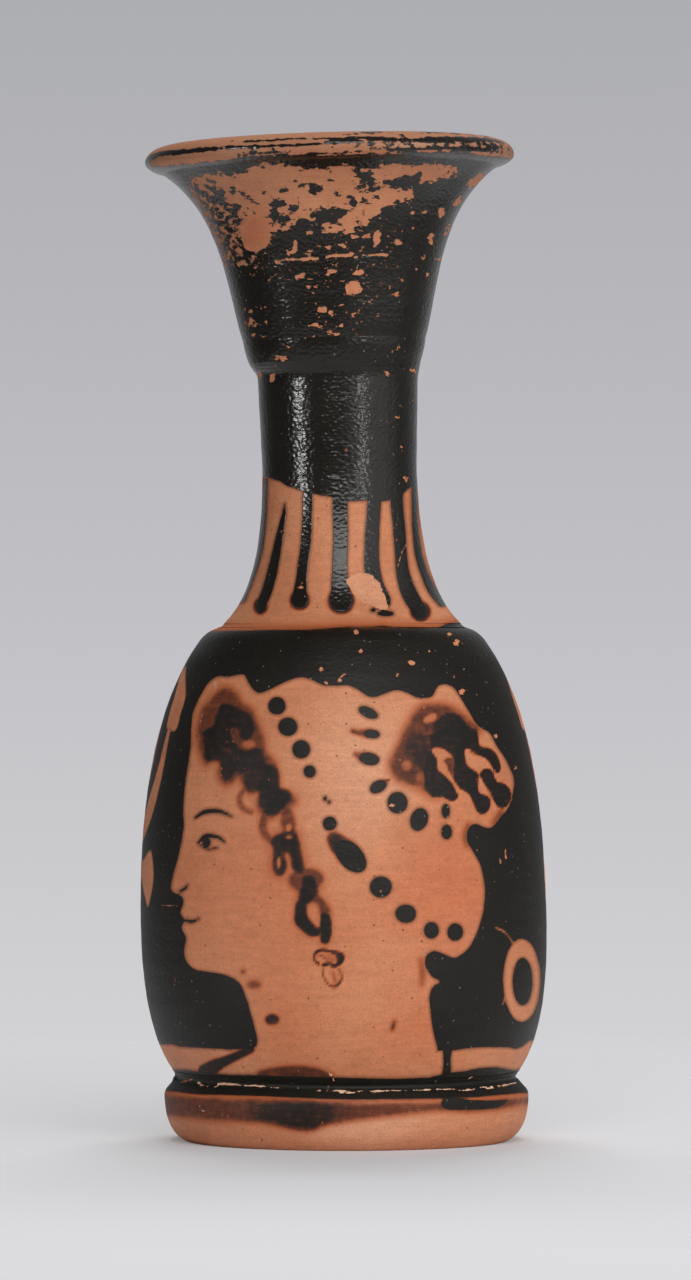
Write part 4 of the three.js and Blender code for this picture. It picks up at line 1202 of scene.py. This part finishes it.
def lip_wear(skin):
    """How far the lip is worn, all but a few lines and crumbs of gloss."""
    worn = np.clip(LIP_BITE * above(skin, LIP_EDGE), -REACH, LIP_WEAR)
    for amount, oval in LIP_CRUMBS:
        worn -= amount * soft(in_front(skin, oval_depth(skin.view, *oval)), CRUMB_BLUR)
    return np.minimum(worn, -LINE_BITE * in_front(skin, strokes_depth(skin.view, LIP_LINES)))


def wear_depth(skin):
    """How far the gloss is worn: above zero it is gone, just below zero it is spotted."""
    spots = skin.view
    flakes = [loop_depth(spots, flake, parts=2) for flake in (BIG_FLAKE, RIGHT_FLAKE)]
    flake_wear = LOW_FLAKE_WEAR + FLAKE_WEAR_RISE * eased(spots[:, 1], *FLAKE_RISE_HEIGHTS)
    islands = -ISLAND_BITE * ovals_depth(spots, FLAKE_ISLANDS)
    front = np.max([
        np.min([np.max(flakes, axis=0), flake_wear, islands], axis=0),
        np.clip(STREAKED_BITE * loop_depth(spots, STREAKED), -REACH, 0) + STREAKED_WEAR,
        np.clip(SPECKLED_BITE * ovals_depth(spots, SPECKLED), -REACH, 0) + SPECKLED_WEAR,
        CHIP_BITE * ovals_depth(spots, CHIPS),
        PATCH_BITE * oval_depth(spots, *ROUND_PATCH),
        CUT_BITE * strokes_depth(spots, CUT_LINES),
        CRACK_BITE * cracks_depth(spots),
        SPALL_BITE * loop_depth(spots, SPALL)], axis=0)
    marks = np.where(skin.front, front, BACK_BITE * ovals_depth(skin.wall, BACK_FLAKES))
    everywhere = EVEN_WEAR - EVEN_WEAR_FALL * np.clip(LIP_TOP - skin.height, 0, EVEN_WEAR_DROP)
    return np.max([marks, lip_wear(skin), everywhere], axis=0)


print("wear is deepest on the lip, at", LIP_WEAR)

# %% Thin wash
FOOT_WASH = 0.92
FOOT_WASH_LOSS = 0.3
FOOT_WASH_MIDDLE = -6
FOOT_WASH_HALF_WIDTH = 6
FOOT_WASH_FADE = 8
FOOT_WASH_BLUR = 1.5
BEVEL_WASH = 0.6
BEVEL_TOP = 8
BEVEL_BLUR = 0.7
SHOULDER_WASH = 0.3
SHOULDER_LOW = 60
SHOULDER_LAP = 0.5
SHOULDER_BLUR = 1.4


def wash_amount(skin):
    """How strong the thin brown wash is: 0 none, 1 nearly black."""
    spots = skin.view
    smudges = [dark * soft(oval_depth(spots, *oval), SMUDGE_BLUR) for dark, oval in SMUDGES]
    front = np.where(skin.front, np.max([hair_tone(spots)] + smudges, axis=0), 0)
    band = np.minimum(-above(skin, WASH_TOP), above(skin, WASH_LOW))
    aside = np.abs(spots[:, 0] - FOOT_WASH_MIDDLE) - FOOT_WASH_HALF_WIDTH
    thinned = FOOT_WASH - FOOT_WASH_LOSS * soft(aside, FOOT_WASH_FADE)
    bevel = BEVEL_WASH * soft(above(skin, BEVEL_LOW), BEVEL_BLUR)
    under_bevel = np.where(skin.height < BEVEL_TOP, bevel, 0)
    shoulder_band = np.minimum(SHOULDER_LAP - above(skin, SHOULDER_EDGE), skin.height - SHOULDER_LOW)
    shoulder_edge = SHOULDER_WASH * soft(shoulder_band, SHOULDER_BLUR)
    return np.max([front, thinned * soft(band, FOOT_WASH_BLUR), under_bevel, shoulder_edge], axis=0)


print("the foot's wash covers up to", round(100 * FOOT_WASH), "%")

# %% Soft patches of the clay, with painted sheen, light and glint
# Redder clay above zero; below zero, painted sheen on the cap's middle, painted light on the foot's middle
# and a painted glint on the lip: amount, then an oval
CLAY_AND_SHEEN_PATCHES = (
    (0.8, (12.5, 30, 9, 8)), (0.5, (-12, 30, 8, 9)), (0.5, (9, 13, 6, 5)), (-0.6, (2, 43, 7, 10)),
    (0.4, (-8, 14, 5, 6)), (-0.8, (2, 2, 9, 3)), (-1.3, (9, 119.4, 5, 0.3)),
    (0.9, (-10.9, 108.8, 2.2, 2.6)))
SPALL_PALENESS = 0.5
SPALL_BLUR = 0.2
CRACK_PALENESS = 2
CRACK_BLUR = 0.3
FLAKE_GRIME = 0.25
FLAKE_GRIME_HEIGHTS = (98, 106)
LIP_GRIME = 0.62
LIP_GRIME_HEIGHTS = (116.4, 117.6)


def clay_tint(skin):
    """Where the clay is redder (above zero) or paler (below zero): paler clay in spalls and cracks, and
    painted sheen, light and glint from the patches.
    """
    tint = np.zeros(len(skin.view))
    for amount, (x, z, wide, tall) in CLAY_AND_SHEEN_PATCHES:
        away = np.hypot((skin.view[:, 0] - x) / wide, (skin.view[:, 1] - z) / tall)
        tint += amount * np.exp(-away ** 2)
    tint -= SPALL_PALENESS * soft(loop_depth(skin.view, SPALL), SPALL_BLUR)
    tint -= CRACK_PALENESS * soft(cracks_depth(skin.view), CRACK_BLUR)
    return np.where(skin.front, tint, 0)


def clay_grime(skin):
    """How much handling has greyed the bare clay: most on the lip, some in the flakes below it."""
    flaked = FLAKE_GRIME * eased(skin.height, *FLAKE_GRIME_HEIGHTS)
    return np.maximum(flaked, LIP_GRIME * eased(skin.height, *LIP_GRIME_HEIGHTS))


print(len(CLAY_AND_SHEEN_PATCHES), "soft patches")

# %% The finished gloss
def gloss_depth(skin):
    """Depth inside the finished black gloss."""
    head_and_ring = np.maximum(head_depth(skin.view), ring_depth(skin.view))
    bare = [in_front(skin, head_and_ring), palmette_depth(skin.wall), side_ornament_depth(skin.wall, 1, 0),
            side_ornament_depth(skin.wall, -1, RIGHT_SET_BACK)]
    drawn = [ovals_depth(skin.view, CAP_DOTS + (IRIS,)), strokes_depth(skin.view, FACE_STROKES)]
    ground = np.minimum(ground_depth(skin), -np.max(bare, axis=0))
    return np.maximum(ground, in_front(skin, np.max(drawn, axis=0)))


print("the paint is ready")

# %% [markdown]
# ## Laying the paint on and shaping the skin
# The five numbers are stored on each point as attributes. The same depths also shape the clay: finger
# ridges from throwing, a slight sway out of round, a shallow bed where a flake or a spall has come off.

# %% Relief of the thrown skin
# Height and spacing of the finger ridges, how far they wander round the wall, and where they start
RIDGES = ((0.006, 2.3, 0.3, 0), (0.009, 5.1, 0.6, 1))
# How far the wall sways, how many times a turn, how fast that changes with height, and where it starts
SWAYS = ((0.07, 2, 1 / 30, 0), (0.04, 3, 0, 2))
SPALL_BED = 0.14
SPALL_RIM = 0.5
FLAKE_BED = 0.04
FLAKE_RIM = 0.3
BURR = 0.45
BURR_ANGLE = -1.5
BURR_HEIGHT = 7.5
BURR_WIDE = 0.05
BURR_TALL = 0.4
# How fast the relief sets in where the wall turns outward, and over which heights it does above the table
OUTER_RAMP = 3
TABLE_CLEARANCE = 0.5
TABLE_RAMP = 2


def relief(skin, wear):
    """How far each point stands off the plain turned form, in millimetres."""
    ridges = sum(high * np.sin(2 * math.pi * skin.height / apart + wander * np.sin(skin.angle + start))
                 for high, apart, wander, start in RIDGES)
    sway = sum(far * np.sin(times * skin.angle + twist * skin.height + start)
               for far, times, twist, start in SWAYS)
    away = np.hypot((skin.angle - BURR_ANGLE) / BURR_WIDE, (skin.height - BURR_HEIGHT) / BURR_TALL)
    spall = np.clip(in_front(skin, loop_depth(skin.view, SPALL)) / SPALL_RIM, 0, 1)
    beds = SPALL_BED * spall + FLAKE_BED * np.clip(wear / FLAKE_RIM, 0, 1)
    outer = np.clip(skin.outward * OUTER_RAMP, 0, 1)
    off_table = np.clip((skin.height - TABLE_CLEARANCE) / TABLE_RAMP, 0, 1)
    return outer * off_table * (ridges + sway + BURR * np.exp(-away ** 2) - beds)


def settle(piece, points):
    """Leans finished points, in millimetres, and gives them back to the piece."""
    piece.data.vertices.foreach_set("co", (lean(points) * MM).astype(np.float32).ravel())
    piece.data.update()


print("the deepest bed is", SPALL_BED, "mm")

# %% Paint of the thrown pieces
BARE = -2.0
COVERED = 2.0
UNWORN = -1.0
BOWL_FLOOR = 97
OUTWARD = -0.25
DOWNWARD = -0.95
UNDERSIDE_TOP = 2
for piece in turned_pieces:
    skin = skins[piece.name]
    outside = skin.outward > OUTWARD
    bowl_inside = ~outside & (skin.height > BOWL_FLOOR)
    underside = (skin.normals[:, 2] < DOWNWARD) & (skin.height < UNDERSIDE_TOP)
    wear = wear_depth(skin)
    gloss = np.where(outside, gloss_depth(skin), BARE)
    gloss[bowl_inside] = COVERED
    gloss[underside] = BARE
    store(piece.data, "gloss", gloss)
    store(piece.data, "wear", np.where(outside | bowl_inside, wear, UNWORN))
    store(piece.data, "wash", np.where(outside, wash_amount(skin), 0))
    store(piece.data, "tint", clay_tint(skin))
    store(piece.data, "grime", clay_grime(skin))
    settle(piece, skin.points + skin.normals * relief(skin, wear)[:, None])
    print(piece.name, "black over", round(100 * float(np.mean(gloss > 0))), "% of its points")

# %% Paint of the handle
INNER_FACE_DEPTH = 1.1
INNER_FACE_HALF_WIDTH = 3.4
HANDLE_WEAR = -0.66
MARK_EVERY = 4
skin = skins["handle_pulled"]
marks = handle_path[::MARK_EVERY]
nearest = np.linalg.norm(skin.points[:, None, 1:] - marks[None], axis=2).argmin(axis=1)
path_way = np.gradient(marks, axis=0)
path_way /= np.linalg.norm(path_way, axis=1)[:, None]
off_path = skin.points[:, 1:] - marks[nearest]
inward = off_path[:, 0] * path_way[nearest, 1] - off_path[:, 1] * path_way[nearest, 0]
inner_face = np.minimum(inward - INNER_FACE_DEPTH, INNER_FACE_HALF_WIDTH - np.abs(skin.points[:, 0]))
store(handle.data, "gloss", -inner_face)
store(handle.data, "wear", np.full(len(inward), HANDLE_WEAR))
for name in ("wash", "tint", "grime"):
    store(handle.data, name, np.zeros(len(inward)))
settle(handle, skin.points)
print("the handle is bare over", round(100 * float(np.mean(inner_face > 0))), "% of its points")

# %% [markdown]
# ## Fired clay and iron gloss
# The clay is fine and iron-rich. It fired orange, matt to satin, with a soft grain, paler and redder
# clouds and dark specks. The gloss is the same clay, refined, and sintered to a glassy black film a few
# hundredths of a millimetre thick: near black with a grey-green cast, and broken highlights because it
# follows the grain. At its edge the film thins to red-brown. One material reads the five attributes and
# mixes the two.

# %% Patterns of the clay and the gloss
# Name, size in millimetres, how much longer the pattern is round the wheel, and layers of finer detail
NOISES = (
    ("cloud", 11, 1, 4), ("pool", 5, 1, 4), ("waver", 1.5, 1, 4), ("mottle", 0.9, 1, 4),
    ("peel", 0.36, 1.4, 0.4), ("grain", 0.22, 1, 4), ("crumb", 0.55, 1.9, 4), ("lines", 0.4, 8, 4))
NOISE_ROUGHNESS = 0.62
# Name, size of the cells, share of the cells with a speck, and the largest speck's radius, in millimetres
SPECKS = (
    ("pinhole", 2.0, 0.4, 0.2), ("freckle", 0.6, 0.5, 0.16), ("dust", 0.7, 0.5, 0.13),
    ("dark_speck", 1.1, 0.5, 0.17), ("fleck", 0.5, 0.7, 0.12), ("grit", 0.7, 0.4, 0.14))
SPECK_EDGE = 0.03


def patterns(tree, spot):
    """The noises and the specks over a spot in millimetres, by name."""
    made = {}
    for name, size, longer, detail in NOISES:
        scale = (1 / (size * longer), 1 / (size * longer), 1 / size)
        vector = add(tree, "ShaderNodeVectorMath", {0: spot, 1: scale}, operation="MULTIPLY").outputs[0]
        made[name] = add(tree, "ShaderNodeTexNoise", {
            "Vector": vector, "Scale": 1.0, "Detail": detail, "Roughness": NOISE_ROUGHNESS}).outputs["Fac"]
    for name, cell, share, radius in SPECKS:
        cells = add(tree, "ShaderNodeTexVoronoi", {"Vector": spot, "Scale": 1 / cell}).outputs
        made["distance"] = cells["Distance"]
        made["pick"] = add(tree, "ShaderNodeSeparateColor", {0: cells["Color"]}).outputs[0]
        cook(tree, made, (
            ("size", "RANGE", "pick", 1 - share, 1, 0, radius / cell),
            ("inside", "SUBTRACT", "size", "distance"),
            (name, "RANGE", "inside", 0, SPECK_EDGE / cell, 0, 1)))
    return made


print(len(NOISES), "noises and", len(SPECKS), "kinds of speck")

# %% The recipe
RECIPE = (
    # The film ends in a brushed edge that wavers, and breaks up where it is worn
    ("wavering", "RANGE", "waver", 0, 1, -0.1, 0.1),
    ("edge", "ADD", "gloss", "wavering"),
    ("brushed", "RANGE", "edge", -0.05, 0.06, 0, 1),
    ("crumbling", "RANGE", "crumb", 0, 1, -1.6, 1.6),
    ("torn", "ADD", "wear", "crumbling"),
    ("kept", "RANGE", "torn", -0.03, 0.05, 1, 0),
    ("freckled", "RANGE", "wear", -0.7, -0.5, 0, 1),
    ("unstreaked", "RANGE", "wear", -0.4, -0.2, 1, 0),
    ("freckle_zone", "MULTIPLY", "freckled", "unstreaked"),
    ("freckles", "MULTIPLY", "freckle", "freckle_zone"),
    ("holes", "MAXIMUM", "freckles", "pinhole"),
    ("unpierced", "SUBTRACT", 1, "holes"),
    ("covered", "MULTIPLY", "brushed", "kept"),
    ("film", "MULTIPLY", "covered", "unpierced"),
    # Clay: clouds, redder patches, painted sheen, light and glint where the tint is below zero, pale spalls
    # and cracks, mottling, wheel lines and dark specks
    ("clouded", "BLEND", "cloud", "#aa613d", "#c78964"),
    ("redness", "RANGE", "tint", 0, 1, 0, 0.8),
    ("reddened", "BLEND", "redness", "clouded", "#b05b37"),
    ("paleness_and_sheen", "RANGE", "tint", 0, -1, 0, 0.8),
    ("paled_and_sheened", "BLEND", "paleness_and_sheen", "reddened", "#cf9c7c"),
    ("chalk_and_glint", "RANGE", "tint", -1, -2, 0, 1),
    ("chalk_and_glint_coloured", "BLEND", "chalk_and_glint", "paled_and_sheened", "#dcb79a"),
    ("mottling", "RANGE", "mottle", 0, 1, 0.82, 1.18),
    ("graining", "RANGE", "grain", 0, 1, 0.62, 1.38),
    ("turning", "RANGE", "lines", 0, 1, 0.78, 1.22),
    ("texture", "MULTIPLY", "mottling", "graining"),
    ("shade", "MULTIPLY", "texture", "turning"),
    ("shaded", "SCALE", "chalk_and_glint_coloured", "shade"),
    ("speckling", "MULTIPLY", "dark_speck", 0.75),
    ("specked", "BLEND", "speckling", "shaded", "#4f3222"),
    ("flecking", "MULTIPLY", "fleck", 0.45),
    ("flecked", "BLEND", "flecking", "specked", "#75482f"),
    ("clay", "BLEND", "grime", "flecked", "#8a6650"),
    # Where the film ends it thins to a red-brown fringe
    ("fringe", "RANGE", "edge", -0.38, 0, 0, 0.8),
    ("fringe_kept", "MULTIPLY", "fringe", "kept"),
    ("fringed", "BLEND", "fringe_kept", "clay", "#6e3a22"),
    # Wash: red-brown where it is thin, black-brown where it pooled, with grit showing through
    ("brushing", "MULTIPLY_ADD", "lines", 0.7, "mottle"),
    ("streaking", "RANGE", "brushing", 0, 1.7, 0.4, 1.6),
    ("clear_of_grit", "MULTIPLY_ADD", "grit", -0.5, 1),
    ("evenness", "MULTIPLY", "streaking", "clear_of_grit"),
    ("unworn", "MULTIPLY", "evenness", "kept"),
    ("strength", "MULTIPLY", "wash", "unworn"),
    ("thin", "RANGE", "strength", 0, 0.3, 0, 0.75),
    ("stained", "BLEND", "thin", "fringed", "#a1512a"),
    ("full", "RANGE", "strength", 0.3, 0.55, 0, 1),
    ("browned", "BLEND", "full", "stained", "#67331d"),
    ("deep", "RANGE", "strength", 0.55, 0.8, 0, 1),
    ("darkened", "BLEND", "deep", "browned", "#2c1b15"),
    ("pooled", "RANGE", "strength", 0.8, 1, 0, 1),
    ("washed", "BLEND", "pooled", "darkened", "#16120f"),
    # Gloss: near black and a little olive, clouded where the film is thicker
    ("black", "BLEND", "pool", "#0f0d09", "#1b1812"),
    ("dusting", "MULTIPLY", "dust", 0.5),
    ("dusted", "BLEND", "dusting", "black", "#8e857a"),
    ("surface", "BLEND", "film", "washed", "dusted"),
    # Sheen: matt clay, satin gloss on the body, glassier gloss on the neck and mouth
    ("wash_cover", "RANGE", "wash", 0.6, 1, 0, 0.8),
    ("painted", "MAXIMUM", "film", "wash_cover"),
    ("matt", "RANGE", "mottle", 0, 1, 0.5, 0.66),
    ("high_up", "RANGE", "height", 57, 64, 0, 1),
    ("satin", "RANGE", "pool", 0, 1, 0.44, 0.56),
    ("glassy", "MULTIPLY_ADD", "high_up", -0.25, "satin"),
    ("roughness", "FADE", "painted", "matt", "glassy"),
    ("glazed", "MULTIPLY", "film", "high_up"),
    ("glaze", "MULTIPLY", "glazed", 0.3),
    # Relief in millimetres: wheel lines, grain on the clay, a peel and its own thickness on the film
    ("wheel", "MULTIPLY", "lines", 0.02),
    ("grainy", "MULTIPLY_ADD", "grain", 0.016, "wheel"),
    ("thick", "ADD", "wheel", 0.02),
    ("peel_depth", "RANGE", "high_up", 0, 1, 0.04, 0.072),
    ("peeled", "MULTIPLY_ADD", "peel", "peel_depth", "thick"),
    ("skin_height", "FADE", "film", "grainy", "peeled"))
print("the recipe has", len(RECIPE), "steps")

# %% The vase's material
SPECULAR = 0.2
COAT_ROUGHNESS = 0.16


def fired_clay_with_iron_gloss(material):
    """Orange fired clay under a sintered black iron film, with brown wash and wear."""
    material.use_nodes = True
    tree = material.node_tree
    tree.nodes.clear()
    place = add(tree, "ShaderNodeTexCoord").outputs["Object"]
    spot = add(tree, "ShaderNodeVectorMath", {0: place, 1: (1 / MM,) * 3}, operation="MULTIPLY").outputs[0]
    made = patterns(tree, spot)
    made["height"] = add(tree, "ShaderNodeSeparateXYZ", {0: spot}).outputs["Z"]
    for name in ("gloss", "wear", "wash", "tint", "grime"):
        made[name] = add(tree, "ShaderNodeAttribute", attribute_name=name).outputs["Fac"]
    cook(tree, made, RECIPE)
    bump = add(tree, "ShaderNodeBump", {"Height": made["skin_height"], "Distance": MM, "Strength": 1.0})
    shader = add(tree, "ShaderNodeBsdfPrincipled", {
        "Base Color": made["surface"], "Roughness": made["roughness"], "Specular IOR Level": SPECULAR,
        "Coat Weight": made["glaze"], "Coat Roughness": COAT_ROUGHNESS, "Normal": bump.outputs[0],
        "Coat Normal": bump.outputs[0]})
    add(tree, "ShaderNodeOutputMaterial", {"Surface": shader.outputs[0]})


fired_clay_with_iron_gloss(vase_clay)
print("the vase's material has", len(vase_clay.node_tree.nodes), "nodes")

# %% [markdown]
# ## Table, world and lamps
# The vase stands on a pale matt table that fades into a pale surround. The table keeps the vase's
# shadow. The surround is drawn for the camera and for reflections, darker towards the top, while the
# light on the vase comes from soft lamps: a wide one in front, a window at the right and one above the
# back, which sets the dark contact shadow in front of the foot. The window is brightest in its middle,
# so it is made of three panes, one in front of the other. Two small panes at the left and the right are
# only there to be mirrored: they give the sparkling streaks on the neck.

# %% The table
TABLE_RADIUS = 0.26
TABLE_GLOW = 0.25
FADE_START = 0.6 * TABLE_RADIUS
RIM_POINTS = 96


def matt_table():
    """Pale painted board, which fades out at its rim."""
    material = bpy.data.materials.new("pale_painted_board")
    material.use_nodes = True
    tree = material.node_tree
    tree.nodes.clear()
    place = add(tree, "ShaderNodeTexCoord").outputs["Object"]
    away = add(tree, "ShaderNodeVectorMath", {0: place}, operation="LENGTH").outputs["Value"]
    fade = add(tree, "ShaderNodeMapRange",
               {"Value": away, "From Min": FADE_START, "From Max": TABLE_RADIUS},
               interpolation_type="SMOOTHSTEP").outputs[0]
    rays = add(tree, "ShaderNodeLightPath").outputs
    made = {"camera": rays["Is Camera Ray"], "mirror": rays["Is Glossy Ray"]}
    cook(tree, made, (
        ("bounced", "BLEND", "camera", "#f4f4f6", "#d0d0d2"),
        ("paint", "BLEND", "mirror", "bounced", "#d8d8da"),
        ("share", "MULTIPLY", "camera", TABLE_GLOW)))
    board = add(tree, "ShaderNodeBsdfDiffuse", {"Color": made["paint"]})
    glow = add(tree, "ShaderNodeEmission", {"Color": colour("#dadadc"), "Strength": 1.0})
    pale = add(tree, "ShaderNodeMixShader", {0: made["share"], 1: board.outputs[0], 2: glow.outputs[0]})
    clear = add(tree, "ShaderNodeBsdfTransparent")
    mixed = add(tree, "ShaderNodeMixShader", {0: fade, 1: pale.outputs[0], 2: clear.outputs[0]})
    add(tree, "ShaderNodeOutputMaterial", {"Surface": mixed.outputs[0]})
    return material


turns = np.linspace(0, 2 * math.pi, RIM_POINTS, False)
rim = [(TABLE_RADIUS * math.cos(turn), TABLE_RADIUS * math.sin(turn), 0) for turn in turns]
table_mesh = bpy.data.meshes.new("table")
table_mesh.from_pydata(rim, [], [range(len(rim))])
table_mesh.materials.append(matt_table())
table = bpy.data.objects.new("table", table_mesh)
bpy.context.scene.collection.objects.link(table)
print("the table is", 2 * TABLE_RADIUS, "m across")

# %% The surround
MIRRORED_SHARE = 0.6
LEFT_FILL = 0.1
RIGHT_FILL = 0.26
PICTURE_LOW = -0.075
PICTURE_HIGH = 0.09
BEHIND_FROM = 0.6
BEHIND_TO = 0.97
# Share of the way up the picture, and the colour there
GREYS = ((0.0, "#d6d6d8"), (0.1, "#d3d3d5"), (0.24, "#cccccf"), (0.49, "#c1c0c5"), (0.74, "#b7b6bb"),
         (1.0, "#adaeb2"))


def pale_surround():
    """A soft grey surround, graded where it is seen or mirrored, and a weak light from the right."""
    world = bpy.data.worlds.new("pale_surround")
    world.use_nodes = True
    tree = world.node_tree
    tree.nodes.clear()
    way = add(tree, "ShaderNodeTexCoord").outputs["Generated"]
    parts = add(tree, "ShaderNodeSeparateXYZ", {0: way}).outputs
    rays = add(tree, "ShaderNodeLightPath").outputs
    made = {"across": parts["X"], "back": parts["Y"], "up": parts["Z"], "camera": rays["Is Camera Ray"],
            "mirror": rays["Is Glossy Ray"], "passed": rays["Is Transmission Ray"]}
    cook(tree, made, (
        ("level", "RANGE", "up", PICTURE_LOW, PICTURE_HIGH, 0, 1),
        ("bent", "MAXIMUM", "mirror", "passed"),
        ("behind", "RANGE", "back", BEHIND_FROM, BEHIND_TO, 0, 1),
        ("mirrored", "MULTIPLY", "bent", "behind"),
        ("dimmed", "MULTIPLY", "mirrored", MIRRORED_SHARE),
        ("seen", "MAXIMUM", "camera", "dimmed"),
        ("fill", "RANGE", "across", -1, 1, LEFT_FILL, RIGHT_FILL)))
    graded = add(tree, "ShaderNodeValToRGB", {"Fac": made["level"]})
    for _ in range(len(GREYS) - 2):
        graded.color_ramp.elements.new(0.5)
    for element, (at, code) in zip(graded.color_ramp.elements, GREYS):
        element.position = at
        element.color = colour(code)
    shown = add(tree, "ShaderNodeBackground", {"Color": graded.outputs["Color"], "Strength": 1.0})
    lit = add(tree, "ShaderNodeBackground", {"Color": colour("#f2f3f6"), "Strength": made["fill"]})
    mixed = add(tree, "ShaderNodeMixShader", {0: made["seen"], 1: lit.outputs[0], 2: shown.outputs[0]})
    add(tree, "ShaderNodeOutputWorld", {"Surface": mixed.outputs[0]})
    return world


bpy.context.scene.world = pale_surround()
print("the surround is set")

# %% The lamps
AIM_HEIGHT = 0.06
# Name, azimuth, distance, height, size and watts, whether the lamp lights the vase, and is mirrored in it
LAMPS = (
    ("front_sky", 6, 0.8, 0.5, (0.75, 0.45), 5.9, True, True),
    ("left_pane", -58, 0.7, 0.1, (0.1, 0.1), 1.3, False, True),
    ("right_pane", 38, 0.7, 0.1, (0.1, 0.1), 0.4, False, True),
    ("back_sky", 180, 0.42, 0.9, (0.45, 0.45), 6.0, True, False),
    ("right_window", 54, 0.72, 0.27, (1.4, 1.0), 1.5, True, True),
    ("right_window", 54, 0.7, 0.27, (0.9, 0.8), 0.77, True, True),
    ("right_window", 54, 0.68, 0.27, (0.5, 0.6), 0.32, True, True))


def softbox(name, azimuth, distance, height, size, watts, lights, mirrored):
    """A soft lamp aimed at the vase's middle, azimuth in degrees from the camera to the right."""
    lamp = bpy.data.lights.new(name, "AREA")
    lamp.shape = "RECTANGLE"
    lamp.size, lamp.size_y = size
    lamp.energy = watts
    stand = bpy.data.objects.new(name, lamp)
    turn = math.radians(azimuth)
    stand.location = (distance * math.sin(turn), -distance * math.cos(turn), height)
    aim = -stand.location
    aim.z += AIM_HEIGHT
    stand.rotation_euler = aim.to_track_quat("-Z", "Y").to_euler()
    stand.visible_diffuse = lights
    stand.visible_glossy = mirrored
    bpy.context.scene.collection.objects.link(stand)


for lamp in LAMPS:
    softbox(*lamp)
print(len(LAMPS), "lamps set")

# %% [markdown]
# ## The camera
# The photograph looks level at the middle of the vase from a little under a metre with a long lens, so
# the sides barely converge. The lens follows from how much of the vase's plane the picture's long side
# takes in.

# %% The camera
SEEN_HEIGHT = 153.6
SENSOR = 36.0
NEAR_CLIP = 0.01
camera = bpy.data.objects.new("camera", bpy.data.cameras.new("camera"))
camera.data.sensor_width = SENSOR
camera.data.lens = SENSOR * VIEW_DISTANCE / SEEN_HEIGHT
camera.data.clip_start = NEAR_CLIP
camera.location = (VIEW_ASIDE * MM, -VIEW_DISTANCE * MM, VIEW_HEIGHT * MM)
camera.rotation_euler = (math.pi / 2, 0, 0)
bpy.context.scene.collection.objects.link(camera)
bpy.context.scene.camera = camera
bpy.context.scene.view_settings.view_transform = "Standard"
print("the lens is", round(camera.data.lens, 1), "mm")

# %% [markdown]
# ## Handing the pieces to the frame
# Every piece rides on the vase's one body and hides the CAD node it stands for.
# Each row of the table also gives a material slot, which this cell does not use.

# %% Riding and hiding the CAD nodes
STANDS_FOR = (
    (foot, "foot", "reserved_clay"), (foot_slip, "foot_slip", "luting_slip"),
    (body, "body", "black_gloss"), (neck_slip, "neck_slip", "luting_slip"), (neck, "neck", "black_gloss"),
    (mouth_slip, "mouth_slip", "luting_slip"), (mouth, "mouth", "black_gloss"),
    (handle, "handle", "black_gloss"))
for piece, node, slot in STANDS_FOR:
    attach(piece, "root")
    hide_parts(node)
    low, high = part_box(node)
    corners = np.array([v.co for v in piece.data.vertices])
    off = np.abs(np.concatenate([corners.min(0) - low, corners.max(0) - high])).max() / MM
    print(piece.name, "is at most", round(float(off), 2), "mm off the CAD node's box")
